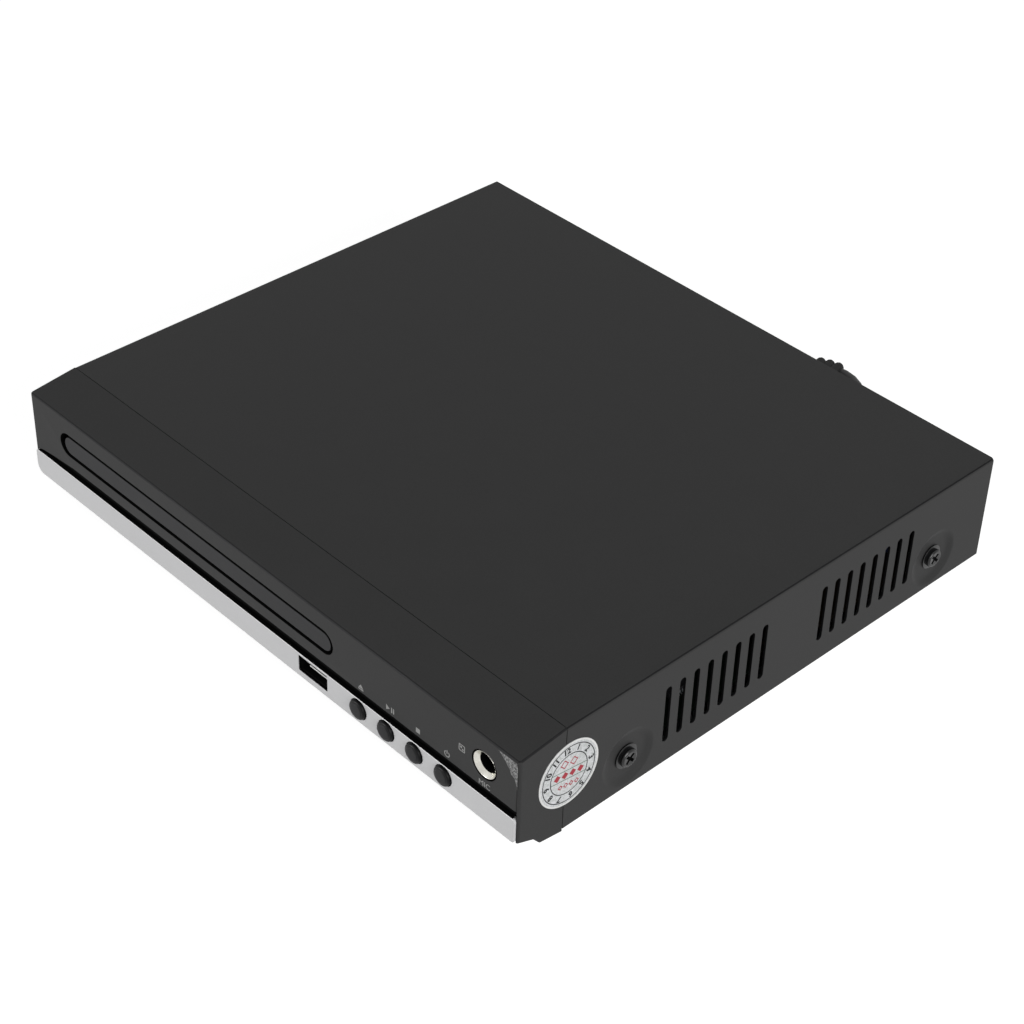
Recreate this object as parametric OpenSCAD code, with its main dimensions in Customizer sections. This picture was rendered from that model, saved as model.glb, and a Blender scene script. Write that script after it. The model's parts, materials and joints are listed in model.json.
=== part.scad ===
// Compact disc player with a motorised loading tray, in millimetres.
// Frame: +Z up from the floor, the front faces -Y, and the origin lies under the middle of the player.
// The pieces are laid out on a bench frame whose Y = 0 is the seam between front panel and steel cover.

/* [Casing] */
// Width of the steel cover
case_w = 230; // [228:0.5:244]
// Depth of the steel cover behind the front panel
case_d = 186.8; // [185:0.1:200]
// Height of the steel cover
case_h = 38.1; // [38:0.1:46]
// Height of the feet under the base pan
foot_h = 3; // [2.6:0.1:6]
// Diameter of a foot
foot_d = 14; // [10:0.5:18]
// Thickness of the sheet steel
sheet_t = 0.8; // [0.6:0.1:1]
// Outside radius of the cover's long bends
bend_r = 1.2; // [1.1:0.1:2.4]

/* [Vents] */
// Slots in one group of vents
vent_count = 8; // [5:1:8]
// Distance between neighbouring slots
vent_pitch = 5.8; // [4:0.1:6]
// Width of a slot
vent_w = 2.4; // [1.5:0.1:2.6]
// Length of a slot
vent_len = 20.8; // [14:0.1:24]
// Height of the slots' middle above the floor
vent_z = 21.6; // [20:0.1:23]

/* [Front panel] */
// Depth of the moulded front panel
panel_d = 17.4; // [17.2:0.1:19]
// Wall thickness of the moulded front panel
panel_t = 2.2; // [1.8:0.1:2.4]
// Drop of the panel's top from the seam to the front edge
panel_drop = 2; // [1.2:0.1:2.4]
// Bottom of the silver strip above the floor
strip_z = 8.6; // [8.4:0.1:9.2]
// Height of the silver strip
strip_h = 8.8; // [8.4:0.1:9.2]
// Thickness of the silver strip
strip_t = 1.7; // [1.4:0.1:1.9]
// How far the strip stands proud of the panel's face
strip_proud = 0.5; // [0.2:0.1:0.8]
// Height of the dark groove above the strip
groove_h = 3; // [2:0.1:3.4]
// Depth of the dark groove
groove_d = 1.4; // [0.8:0.1:1.5]

/* [Tray] */
// Middle of the loader from the left side of the cover
loader_inset = 83.9; // [82:0.1:85]
// Width of the tray
tray_w = 130; // [129:0.1:131]
// Height of the tray
tray_h = 6; // [5.6:0.1:6.2]
// How far the tray slides out
tray_travel = 128; // [115:1:130]
// Diameter of the tray's disc recess
recess_d = 121; // [120.6:0.1:122]
// Diameter of the recess for small discs
small_recess_d = 81; // [80.6:0.1:83]
// Width of the slot in the tray for turntable and pickup
tray_slot_w = 40; // [38:0.5:44]
// Width of the tray opening in the front panel
mouth_w = 136.2; // [135.6:0.1:137]
// Height of the tray opening in the front panel
mouth_h = 8.7; // [8.4:0.1:9]
// Height of the tray opening's middle above the floor
mouth_z = 28.8; // [28.6:0.1:29]
// Gap all round between the tray door and the opening
door_gap = 1.15; // [0.8:0.05:1.3]

/* [Drive] */
// Module of the tray's rack and its gear
rack_module = 1; // [1:0.05:1.05]
// Teeth of the gear under the tray
tray_gear_teeth = 20; // [18:1:20]
// Module of the reduction gears
train_module = 0.7; // [0.65:0.05:0.7]
// Teeth of the large reduction gear
train_gear_teeth = 36; // [32:1:36]
// Teeth of the pulley's pinion
train_pinion_teeth = 14; // [14:1:16]
// Radius of the large pulley where the belt runs
pulley_r = 10; // [8:0.5:10.5]
// Radius of the motor pulley where the belt runs
motor_pulley_r = 3.2; // [2.8:0.1:3.6]
// Thickness of the square drive belt
belt_t = 1.2; // [0.9:0.1:1.5]

/* [Disc drive] */
// Middle of the disc behind the seam
spindle_y = 55; // [54:0.5:56]
// Radius of the turntable's rim
turntable_r = 15; // [13.5:0.5:16]
// Radius of the spindle shaft
spindle_r = 1; // [0.8:0.1:1.2]
// Radius of a guide rod
rod_r = 1.5; // [1.3:0.1:1.6]
// How far the optical pickup travels
sled_travel = 34; // [30:1:34]
// How far the cam slider moves to lower the disc drive
cam_travel = 14; // [12:0.5:15]
// Angle by which the disc drive tips down, in degrees
lift_angle = 3.15; // [2.6:0.05:3.3]

/* [Controls and sockets] */
// Radius of a push button
button_r = 3.3; // [2.8:0.1:3.4]
// Clearance round a push button
button_gap = 0.3; // [0.2:0.05:0.4]
// How far a button stands proud of the strip
button_proud = 1.3; // [1:0.1:1.8]
// Travel of a push button
button_travel = 0.6; // [0.4:0.1:0.7]
// Middle of the data socket from the right side of the cover
data_inset = 87.1; // [86:0.1:88]
// Width of the data socket's shell
data_w = 12.9; // [12.5:0.1:13]
// Height of the data socket's shell
data_h = 5.6; // [5.3:0.1:5.8]
// Middle of the microphone socket from the right side of the cover
mic_inset = 13.7; // [13:0.1:14.5]
// Bore radius of the microphone socket, for a 6.35 mm plug
mic_bore_r = 3.2; // [3.2:0.05:3.4]
// Outer radius of a phono socket's shell
phono_r = 4.15; // [4.1:0.05:4.3]
// How far the phono sockets stand out of the rear panel
phono_out = 8.4; // [7:0.1:9]

/* [Mains lead] */
// Diameter of the mains lead
lead_d = 3.2; // [3:0.1:3.2]
// Length of the strain relief outside the rear panel
relief_len = 20; // [20:1:20]

/* [Hidden] */
$fn = 48;

// --- reach of the player, which sets the origin under its middle ---
front_reach = panel_d + strip_proud + button_proud;
rear_reach = case_d + phono_out;
seam_y = (front_reach - rear_reach) / 2;

// --- casing ---
case_top = foot_h + case_h;
pan_top = foot_h + sheet_t;
inner_top = case_top - sheet_t;
side_x = case_w / 2;
inner_x = side_x - sheet_t;
seam_gap = 0.25;
fit = 0.1;
dish_r = 9.5;
dish_floor_r = 7.8;
dish_depth = 0.9;
screw_r = 1.5;
screw_hole_r = 1.8;
screw_head_r = 3.5;
side_screw_z = foot_h + 11.4;
side_screw_y = [25.5, case_d - 24.8];
flange_x = side_x - dish_depth - sheet_t - fit;
flange_h = 6;
tab_w = 20;
vent_front = 40.7;
vent_rear = case_d - 79;
rear_screw_z = case_top - 6;
rear_screw_x = [-side_x + 9.2, -8, 54, side_x - 9.2];
rear_lip_h = 8.4;
label_r = 11.4;
label_t = 0.15;
label_z = 23.6;

// --- front panel ---
face_y = -panel_d;
seat_y = face_y - strip_proud + strip_t;
inner_face_y = face_y + panel_t;
strip_top = strip_z + strip_h;
groove_top = strip_top + groove_h;
step_y = -10.9;
step_z = foot_h + 3;
lip_y = -8.4;
lip_rear_z = foot_h - 1.2;
tongue_d = 4;

// --- tray and loader, from the tray opening ---
loader_x = -side_x + loader_inset;
tray_half = tray_w / 2;
tray_z = mouth_z - 3.4;
tray_top = tray_z + tray_h;
tray_front = -14;
tray_rear = 150;
rail_rear = 160;
tray_t = 1.5;
seat_z = tray_z + 2.8;
disc_floor_z = tray_z + 1.6;
door_h = mouth_h - 2 * door_gap;
door_face_y = face_y + 0.65;
rail_gap = 0.3;
wall_in = tray_half + 0.4;
wall_t = 2;
wall_out = wall_in + wall_t;
frame_front = 2;
frame_rear = 164;
deck_z = [9, 11];
deck_rear = 36.6;
bridge_z = [34.6, 36.1];
loader_foot_x = wall_out + 3.6;
loader_foot_y = [14, 154];

// --- tray drive ---
rack_reach = 55.1;
gear_y = 17;
belt_run = 30;
gear_slack = 0.2;
tray_gear_r = rack_module * tray_gear_teeth / 2;
rack_x = loader_x + rack_reach;
gear_x = rack_x - tray_gear_r;
rack_pitch = PI * rack_module;
rack_teeth = ceil((tray_travel + 16) / rack_pitch);
train_reach = train_module * (train_gear_teeth + train_pinion_teeth) / 2;
pulley_x = gear_x - train_reach;
gear_pin_r = 1.5;
run_gap = 0.05;
belt_z = [17.2, 18.4];
motor_x = pulley_x - belt_run;
motor_r = 10;

// --- disc drive, which tips about the hinge at its rear ---
hinge_y = spindle_y + 83;
hinge_z = 17;
hinge_r = 2;
frame_half = 44;
frame_in = 37;
cam_pin_x = 20;
cam_pin_z = 19.5;
cam_y = [31, 35.5];
cam_drop = (hinge_y - (cam_y[0] + cam_y[1]) / 2) * sin(lift_angle);
cam_slot_r = gear_pin_r + 0.25;
cam_z = [deck_z[1] + 0.2, 23.6];
plate_z = [20.3, 21.5];
plate_half = 36;
damper_x = 33;
damper_y = [spindle_y - 8.4, spindle_y + 71];
damper_z = 15.5;
rod_x = 24;
rod_z = 18.3;
rod_y = [spindle_y + 11, hinge_y - 4.2];
sled_y = [spindle_y + 16.5, spindle_y + 41.5];
lens_y = spindle_y + 24;
turntable_z = 30;
screw_x = 31.5;
sled_screw_z = 15;
sled_screw_y = [spindle_y + 11, spindle_y + 66];

// --- controls ---
button_z = strip_top - 3.75;
button_x = [for (k = [0:3]) side_x - 66.4 + 12.2 * k];
data_x = side_x - data_inset;
mic_x = side_x - mic_inset;
cap_rear_y = -14;
board_y = [-5.5, -3.9];
board_x = [data_x - 9.9, side_x - 4];
board_z = [7.5, 20.4];
board_post_x = [data_x + 12.1, side_x - 9];
board_post_z = board_z[1] - 3;
tap_r = 1.1;
switch_tip_y = cap_rear_y + button_travel + 0.2;
mic_z = mouth_z;
mic_depth = 28;

// --- boards behind the front panel ---
shelf_z = [9, 10.6];
board_edge = 5;
loader_foot_r = 3.5;
main_x = [loader_x + loader_foot_x + loader_foot_r + 2.6, side_x - board_edge];
main_mid = (main_x[0] + main_x[1]) / 2;
power_x = [main_x[0] - 2, main_x[1]];
power_mid = (power_x[0] + power_x[1]) / 2;
power_y = [case_d - 80.8, case_d - 6.8];
main_y = [20, power_y[0] - 11];
av_x = [loader_x - 46.9, loader_x + 19.1];
av_y = [case_d - 20.8, case_d - 1];
av_z = [17, 18.6];
av_stand_y = case_d - 17.5;
phono_x = [for (k = [0:3]) av_x[0] + 12 + 14 * k];
phono_z = 27;

// --- mains lead: its route in the player's own frame, standing on the floor ---
lead_r = lead_d / 2;
rear_y = seam_y + case_d;
relief_x = 72;
relief_z = 9;
coil_xy = [24, 120.2];
coil_turn_r = 16;
coil_turns = 3;
tie_angle = 110;
lead_out = [[72, 118.8, 9], [72, 122.6, 8.9], [71.6, 126.4, 8.1], [70.4, 130, 6.6], [68.2, 133.3, 4.9],
    [65.2, 136, 3.4], [61.6, 138, 2.3], [57.6, 139.2, 1.7], [53, 139.8, 1.6], [47, 140, 1.6], [40, 139.8, 1.6],
    [32, 139.5, 1.6], [24, 139.4, 1.6]];
lead_in = [[10.4, 133.8, 8], [6.2, 129.8, 7.4], [1.4, 125.6, 5.8], [-4, 121.9, 3.8], [-10, 119, 2.3],
    [-17, 117.4, 1.7], [-24, 116.8, 1.6], [-31, 116.8, 1.9], [-37, 116.8, 3], [-43, 116.8, 4.7],
    [-48, 116.8, 6], [-52, 116.8, 6.7], [-56, 116.8, 6.9]];
plug_x = -60;
plug_y = 116.8;
plug_z = 6.9;

// --- shapes used again and again ---
module bench() {
    translate([0, seam_y, 0]) children();
}
module slab(x, y, z) {
    translate([x[0], y[0], z[0]]) cube([x[1] - x[0], y[1] - y[0], z[1] - z[0]]);
}
module post(x, y, z, r) {
    translate([x, y, z[0]]) cylinder(r = r, h = z[1] - z[0]);
}
module pin_x(x, y, z, r) {
    translate([x[0], y, z]) rotate([0, 90, 0]) cylinder(r = r, h = x[1] - x[0]);
}
module pin_y(x, y, z, r) {
    translate([x, y[0], z]) rotate([-90, 0, 0]) cylinder(r = r, h = y[1] - y[0]);
}
module stadium_y(x, y, z) {
    r = (z[1] - z[0]) / 2;
    slab([x[0] + r, x[1] - r], y, z);
    for (end = [x[0] + r, x[1] - r])
        pin_y(end, y, z[0] + r, r);
}
module tube_y(x, y, z, outer, inner) {
    difference() {
        pin_y(x, y, z, outer);
        pin_y(x, [y[0] - 1, y[1] + 1], z, inner);
    }
}

// --- gears: involute flanks at 20 degrees, thinned by a slack ---
function turned(r, a) = [r * cos(a), r * sin(a)];
function involute(r, base) = tan(acos(base / r)) * 180 / PI - acos(base / r);
function tooth_half(r, pitch_r, base, teeth, slack) =
    90 / teeth - slack * 90 / (PI * pitch_r) + involute(pitch_r, base) - involute(r, base);
function gear_outline(teeth, mod, slack) =
    let (pitch_r = teeth * mod / 2, base = pitch_r * cos(20), root = pitch_r - 1.1 * mod,
        tip = pitch_r + 0.8 * mod, start = max(base, root) + 0.001,
        flank = [for (i = [0:4]) start + (tip - start) * i / 4])
    [for (k = [0:teeth - 1]) let (mid = 360 * k / teeth, foot = tooth_half(start, pitch_r, base, teeth, slack))
        each concat(
            [turned(root, mid - foot)],
            [for (r = flank) turned(r, mid - tooth_half(r, pitch_r, base, teeth, slack))],
            [for (i = [4:-1:0]) turned(flank[i], mid + tooth_half(flank[i], pitch_r, base, teeth, slack))],
            [turned(root, mid + foot)])];
module gear(teeth, mod, height) {
    linear_extrude(height) polygon(gear_outline(teeth, mod, gear_slack));
}
// A straight rack along +Y whose teeth point to -X from the pitch line at X = 0
function rack_outline(teeth, mod, slack, back) =
    let (half = PI * mod / 4 - slack / 2, rise = 0.8 * mod, dip = 1.1 * mod, lean = tan(20))
    concat(
        [[back, -PI * mod / 2], [dip, -PI * mod / 2]],
        [for (k = [0:teeth - 1]) let (mid = PI * mod * k) each [
            [dip, mid - half - dip * lean], [-rise, mid - half + rise * lean],
            [-rise, mid + half - rise * lean], [dip, mid + half + dip * lean]]],
        [[dip, PI * mod * (teeth - 0.5)], [back, PI * mod * (teeth - 0.5)]]);

// --- a round cord: a ring of points round each point of its route ---
function unit(v) = v / norm(v);
function heading(p, i) = unit(p[min(i + 1, len(p) - 1)] - p[max(i - 1, 0)]);
function ring(p, i, r, sides) =
    let (way = heading(p, i), across = unit(cross(way, [0, 0, 1])), up = cross(across, way))
    [for (k = [0:sides - 1]) p[i] + r * (cos(360 * k / sides) * across + sin(360 * k / sides) * up)];
module cord(p, r, sides) {
    points = [for (i = [0:len(p) - 1]) each ring(p, i, r, sides)];
    walls = [for (i = [0:len(p) - 2], k = [0:sides - 1])
        [i * sides + k, i * sides + (k + 1) % sides, (i + 1) * sides + (k + 1) % sides, (i + 1) * sides + k]];
    first = [for (k = [sides - 1:-1:0]) k];
    last = [for (k = [0:sides - 1]) (len(p) - 1) * sides + k];
    polyhedron(points, concat([first], walls, [last]));
}

// --- casing ---
module vent_group(x, first_y) {
    reach = (vent_len - vent_w) / 2;
    for (k = [0:vent_count - 1])
        translate([0, first_y + k * vent_pitch, 0]) {
            slab(x, [-vent_w / 2, vent_w / 2], [vent_z - reach, vent_z + reach]);
            for (end = [vent_z - reach, vent_z + reach])
                pin_x(x, 0, end, vent_w / 2);
        }
}
// A pressed dish for a screw, sunk from the side at X = 0 towards -X
module dish(deep, grow) {
    translate([-deep, 0, 0]) rotate([0, 90, 0]) cylinder(r1 = dish_floor_r + grow, r2 = dish_r + grow, h = deep);
}
module cover_section(w, top, r) {
    square([2 * w, top - r - foot_h]);
    translate([r, 0]) square([2 * (w - r), top - foot_h]);
    for (x = [r, 2 * w - r])
        translate([x, top - r - foot_h]) circle(r);
}
module along_y(y) {
    translate([0, y[1], 0]) rotate([90, 0, 0]) linear_extrude(y[1] - y[0]) children();
}
module side_dishes(deep, grow) {
    for (y = side_screw_y, side = [0, 1])
        mirror([side, 0, 0]) translate([side_x, y, side_screw_z]) dish(deep, grow);
}
module top_cover() color("#343434") bench() {
    difference() {
        union() {
            difference() {
                along_y([seam_gap, case_d]) translate([-side_x, foot_h])
                    cover_section(side_x, case_top, bend_r);
                along_y([-1, case_d + 1]) translate([-inner_x, foot_h - 1])
                    square([2 * inner_x, 2]);
                along_y([-1, case_d + 1]) translate([-inner_x, foot_h])
                    cover_section(inner_x, inner_top, bend_r - sheet_t);
            }
            intersection() {
                side_dishes(dish_depth + sheet_t, sheet_t);
                slab([-side_x, side_x], [seam_gap, case_d], [foot_h, case_top]);
            }
            slab([-inner_x + bend_r, inner_x - bend_r], [case_d - 2 * sheet_t - fit, case_d - sheet_t - fit],
                [inner_top - rear_lip_h, inner_top]);
        }
        side_dishes(dish_depth, 0);
        for (y = side_screw_y)
            pin_x([-side_x - 1, side_x + 1], y, side_screw_z, screw_hole_r);
        for (x = rear_screw_x)
            pin_y(x, [case_d - 4, case_d + 1], rear_screw_z, screw_r);
        for (y = [vent_front, vent_rear], x = [[-side_x - 1, -inner_x + 1], [inner_x - 1, side_x + 1]])
            vent_group(x, y);
    }
}
module stand(x, y, top, r) {
    difference() {
        post(x, y, [pan_top, top], r);
        post(x, y, [pan_top, top + 1], screw_r);
    }
}
function board_stands() = concat(
    [for (x = [main_x[0] + 4, main_x[1] - 4], y = [main_y[0] + 4, main_y[1] - 4]) [x, y, shelf_z[0]]],
    [for (x = [power_x[0] + 4, power_x[1] - 4], y = [power_y[0] + 4, power_y[1] - 4]) [x, y, shelf_z[0]]],
    [for (x = [av_x[0] + 4, av_x[1] - 4]) [x, av_stand_y, av_z[0]]]);
module base_pan() color("#9aa0a2") bench() {
    difference() {
        union() {
            slab([-flange_x, flange_x], [seam_gap + tongue_d, case_d - 2 * sheet_t - 2 * fit], [foot_h, pan_top]);
            for (side = [0, 1])
                mirror([side, 0, 0]) {
                    slab([flange_x - sheet_t, flange_x], [seam_gap + tongue_d, case_d - 4],
                        [foot_h, foot_h + flange_h]);
                    for (y = side_screw_y)
                        slab([flange_x - sheet_t, flange_x], [y - tab_w / 2, y + tab_w / 2],
                            [foot_h, side_screw_z + 6]);
                }
        }
        for (y = side_screw_y)
            pin_x([-side_x, side_x], y, side_screw_z, screw_r);
        for (side = [-1, 1], y = loader_foot_y)
            post(loader_x + side * loader_foot_x, y, [foot_h - 1, pan_top + 1], screw_hole_r);
    }
    for (s = board_stands())
        stand(s[0], s[1], s[2], 3);
}
module rear_panel() color("#8c9294") bench() {
    difference() {
        union() {
            slab([-inner_x + fit, inner_x - fit], [case_d - sheet_t, case_d], [foot_h, inner_top - fit]);
            slab([-inner_x + 6, inner_x - 6], [case_d - 6.5, case_d - sheet_t], [pan_top, pan_top + sheet_t]);
        }
        for (x = rear_screw_x)
            pin_y(x, [case_d - 2, case_d + 1], rear_screw_z, screw_hole_r);
        for (x = phono_x)
            pin_y(x, [case_d - 2, case_d + 1], phono_z, phono_r + 0.3);
        pin_y(relief_x, [case_d - 2, case_d + 1], relief_z, lead_r + 2.6);
    }
}
module screw_x(side, y, z, tip) {
    // A pan head in its dish, its flange, and a thread that runs inwards from the head
    seat = side_x - dish_depth;
    mirror([side, 0, 0]) difference() {
        union() {
            pin_x([seat - tip, seat], y, z, screw_r);
            pin_x([seat, seat + 0.5], y, z, 4.2);
            pin_x([seat + 0.5, seat + 1.6], y, z, screw_head_r);
            translate([seat + 1.6, y, z]) rotate([0, 90, 0])
                cylinder(r1 = screw_head_r, r2 = screw_head_r - 0.8, h = 0.5);
        }
        translate([seat + 1.1, y, z])
            for (turn = [45, 135])
                rotate([turn, 0, 0]) translate([0, -2, -0.4]) cube([2, 4, 0.8]);
    }
}
module cover_screws() color("#1d1d1f") bench() {
    for (side = [0, 1], y = side_screw_y)
        screw_x(side, y, side_screw_z, 7);
}
module screw_rear(x, z) {
    difference() {
        union() {
            pin_y(x, [case_d - 7, case_d], z, screw_r);
            pin_y(x, [case_d, case_d + 1.5], z, 3);
        }
        translate([x, case_d + 0.7, z])
            for (turn = [45, 135])
                rotate([0, turn, 0]) translate([-1.8, 0, -0.35]) cube([3.6, 2, 0.7]);
    }
}
module rear_screws() color("#1d1d1f") bench() {
    for (x = rear_screw_x)
        screw_rear(x, rear_screw_z);
}
module seal_label() color("#c9ccd2") bench() {
    pin_x([side_x, side_x + label_t], 1.5, label_z, label_r);
}
module feet() color("#161616") bench() {
    for (x = [-side_x + 20, side_x - 20], y = [22, case_d - 22])
        translate([x, y, 0]) {
            cylinder(r1 = foot_d / 2 - 1, r2 = foot_d / 2, h = 1);
            translate([0, 0, 1]) cylinder(r = foot_d / 2, h = foot_h - 1);
        }
}

// --- front panel ---
function panel_profile(inset, rear) = [
    [rear, case_top - inset], [face_y + inset, case_top - panel_drop - inset], [face_y + inset, strip_z + inset / 2],
    [step_y + inset / 2, step_z + 0.8 * inset], [lip_y + inset / 2, foot_h + inset], [rear, lip_rear_z + inset]];
// Outlines in the Y-Z plane run across the player
module across(x, profile) {
    translate([x[0], 0, 0]) rotate([90, 0, 90]) linear_extrude(x[1] - x[0]) polygon(profile);
}
module panel_tongue() {
    difference() {
        slab([-inner_x + fit, inner_x - fit], [-1, tongue_d], [pan_top + fit, inner_top - fit]);
        slab([-inner_x + 1.5, inner_x - 1.5], [-2, tongue_d + 1], [pan_top + 1.3, inner_top - 1.5]);
    }
}
module groove_cut() {
    // The groove rises in a long taper at its left end, and stops at a thin rim at its right end
    taper = 20;
    left = -side_x + 1.6;
    high = groove_h + 0.5;
    slab([left + taper, side_x - 0.7], [face_y - 1, face_y + groove_d], [strip_top - 0.5, groove_top]);
    translate([left + taper, 0, strip_top - 0.5]) rotate([90, 0, 0])
        translate([0, 0, -face_y - groove_d]) linear_extrude(groove_d + 1)
            polygon([[-taper, 0], [0.01, 0], [0.01, high], [-6.6, high - 0.6], [-10.6, high - 0.9],
                [-14.6, high - 1.4], [-17.6, high - 1.9], [-taper, high - 2.6]]);
}
module front_panel() color("#3a3a3a") bench() {
    difference() {
        union() {
            difference() {
                across([-side_x, side_x], panel_profile(0, 0));
                across([-side_x + panel_t, side_x - panel_t], panel_profile(panel_t, 1));
            }
            panel_tongue();
            for (x = board_post_x)
                pin_y(x, [inner_face_y - 1, board_y[0]], board_post_z, 2.6);
        }
        slab([-side_x + 0.7, side_x - 0.7], [face_y - 1, seat_y], [strip_z - 1, strip_top + 0.05]);
        groove_cut();
        stadium_y([loader_x - mouth_w / 2, loader_x + mouth_w / 2], [face_y - 1, inner_face_y + 1],
            [mouth_z - mouth_h / 2, mouth_z + mouth_h / 2]);
        for (x = button_x)
            pin_y(x, [face_y - 1, switch_tip_y], button_z, button_r + button_gap);
        slab([data_x - data_w / 2 - 0.15, data_x + data_w / 2 + 0.15], [face_y - 1, inner_face_y + 1],
            [button_z - data_h / 2 - 0.15, button_z + data_h / 2 + 0.15]);
        pin_y(mic_x, [face_y - 1, inner_face_y + 1], mic_z, 5);
        for (x = board_post_x)
            pin_y(x, [inner_face_y + 1.5, board_y[0] + 1], board_post_z, tap_r);
    }
}
module strip_outline() {
    left = -side_x + 0.8;
    right = side_x - 0.8;
    corner = 3.2;
    small = 1;
    translate([left + corner, strip_z]) square([right - left - corner - small, strip_h]);
    translate([left, strip_z + corner]) square([corner + 0.01, strip_h - corner - small]);
    translate([left + small, strip_top - small - 0.01]) square([corner, small + 0.01]);
    translate([left + corner, strip_z + corner]) circle(corner);
    translate([left + small, strip_top - small]) circle(small);
    translate([right - small - 0.01, strip_z + small]) square([small + 0.01, strip_h - 2 * small]);
    for (z = [strip_z + small, strip_top - small])
        translate([right - small, z]) circle(small);
}
module trim_strip() color("#c3c3c5") bench() {
    difference() {
        along_y([face_y - strip_proud, seat_y]) strip_outline();
        for (x = button_x)
            pin_y(x, [face_y - 2, seat_y + 1], button_z, button_r + button_gap);
        slab([data_x - data_w / 2 - 0.15, data_x + data_w / 2 + 0.15], [face_y - 2, seat_y + 1],
            [button_z - data_h / 2 - 0.15, button_z + data_h / 2 + 0.15]);
    }
}

// --- tray ---
module tray_rack() {
    first = gear_y + rack_pitch / 2 - 2 * rack_pitch;
    translate([rack_x, first, tray_z]) linear_extrude(disc_floor_z + 0.4 - tray_z)
        polygon(rack_outline(rack_teeth, rack_module, gear_slack, 3.4));
    slab([rack_x + 1.2, rack_x + 3.4], [first - rack_pitch / 2, first + rack_pitch * (rack_teeth - 0.5)],
        [tray_z, tray_top - 0.5]);
}
module tray() color("#2b2b2d") bench() {
    difference() {
        union() {
            slab([loader_x - tray_half, loader_x + tray_half], [tray_front, tray_rear],
                [tray_top - tray_t, tray_top]);
            intersection() {
                post(loader_x, spindle_y, [disc_floor_z, tray_top], recess_d / 2 + tray_t);
                slab([loader_x - tray_half, loader_x + tray_half], [tray_front, tray_rear], [0, tray_top]);
            }
            slab([loader_x - tray_half, loader_x + tray_half], [tray_front, tray_front + tray_t],
                [tray_z, tray_top]);
            for (side = [-1, 1])
                translate([loader_x + side * (tray_half - tray_t / 2), 0, 0])
                    slab([-tray_t / 2, tray_t / 2], [tray_front, rail_rear], [tray_z, tray_top]);
            tray_rack();
        }
        post(loader_x, spindle_y, [seat_z, tray_top + 1], recess_d / 2);
        post(loader_x, spindle_y, [seat_z - 0.5, tray_top + 1], small_recess_d / 2);
        post(loader_x, spindle_y, [tray_z - 1, tray_top + 1], tray_slot_w / 2);
        slab([loader_x - tray_slot_w / 2, loader_x + tray_slot_w / 2], [spindle_y, rail_rear + 1],
            [tray_z - 1, tray_top + 1]);
    }
}
module tray_door() color("#363638") bench() {
    stadium_y([loader_x - mouth_w / 2 + door_gap, loader_x + mouth_w / 2 - door_gap], [door_face_y, tray_front],
        [mouth_z - door_h / 2, mouth_z + door_h / 2]);
}

// --- loader ---
module loader_sides() {
    for (side = [0, 1])
        translate([loader_x, 0, 0]) mirror([side, 0, 0]) {
            slab([wall_in, wall_out], [frame_front, frame_rear], [6, bridge_z[0]]);
            slab([wall_in - 4, wall_in + 0.5], [frame_front, frame_rear], [tray_z - rail_gap - 1.4, tray_z - rail_gap]);
            slab([wall_in - 3, wall_in + 0.5], [frame_front, spindle_y + 10],
                [tray_top + rail_gap, tray_top + rail_gap + 1.2]);
            for (y = loader_foot_y) {
                slab([wall_out - 0.5, loader_foot_x], [y - 3, y + 3], [8, 11]);
                post(loader_foot_x, y, [pan_top, 11], loader_foot_r);
            }
        }
}
module hinge_lugs() {
    lug = [frame_half + 0.4, frame_half + 3.4];
    for (side = [0, 1])
        translate([loader_x, 0, 0]) mirror([side, 0, 0]) {
            slab(lug, [hinge_y, hinge_y + 9], [hinge_z - 4, hinge_z + 4]);
            pin_x(lug, hinge_y, hinge_z, 4);
        }
    slab([loader_x - wall_in - 0.5, loader_x + wall_in + 0.5], [hinge_y + 6, hinge_y + 9],
        [hinge_z - 4, hinge_z + 4]);
}
module loader_frame() color("#d7d4c8") bench() {
    difference() {
        union() {
            loader_sides();
            hinge_lugs();
            slab([loader_x - wall_in - 0.5, loader_x + wall_in + 0.5], [frame_front, deck_rear], deck_z);
            post(gear_x, gear_y, [deck_z[1], 12], gear_pin_r + 1.5);
            post(gear_x, gear_y, [deck_z[1], 24.6], gear_pin_r);
            post(pulley_x, gear_y, [deck_z[1], 12], gear_pin_r + 1);
            post(pulley_x, gear_y, [deck_z[1], 21], gear_pin_r);
        }
        post(motor_x, gear_y, [deck_z[0] - 1, deck_z[1] + 1], motor_r + fit);
        for (side = [-1, 1])
            pin_x([loader_x + side * (frame_half + 2) - 4, loader_x + side * (frame_half + 2) + 4], hinge_y,
                hinge_z, hinge_r + run_gap);
        for (side = [-1, 1], y = loader_foot_y)
            post(loader_x + side * loader_foot_x, y, [pan_top - 1, 10], screw_r);
    }
}
module loader_screws() color("#b9b9b4") bench() {
    for (side = [-1, 1], y = loader_foot_y)
        translate([loader_x + side * loader_foot_x, y, 0]) {
            post(0, 0, [foot_h, 9.5], screw_r);
            post(0, 0, [foot_h - 1.2, foot_h], 2.8);
        }
}
module clamp_bridge() color("#a8acae") bench() {
    difference() {
        slab([loader_x - wall_out, loader_x + wall_out], [spindle_y - 18, spindle_y + 18], bridge_z);
        post(loader_x, spindle_y, [bridge_z[0] - 1, bridge_z[1] + 1], 10.4);
    }
}
module clamper() color("#e4e4df") bench() {
    difference() {
        union() {
            post(loader_x, spindle_y, [32.5, 33.8], 14);
            post(loader_x, spindle_y, [33.7, 36.5], 9.6);
            post(loader_x, spindle_y, [36.4, 37.8], 12.6);
        }
        post(loader_x, spindle_y, [35, 38], 7.5);
    }
}
module clamper_magnet() color("#6d7073") bench() {
    difference() {
        post(loader_x, spindle_y, [35, 37.6], 7.5);
        post(loader_x, spindle_y, [34, 38], 2);
    }
}

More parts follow.
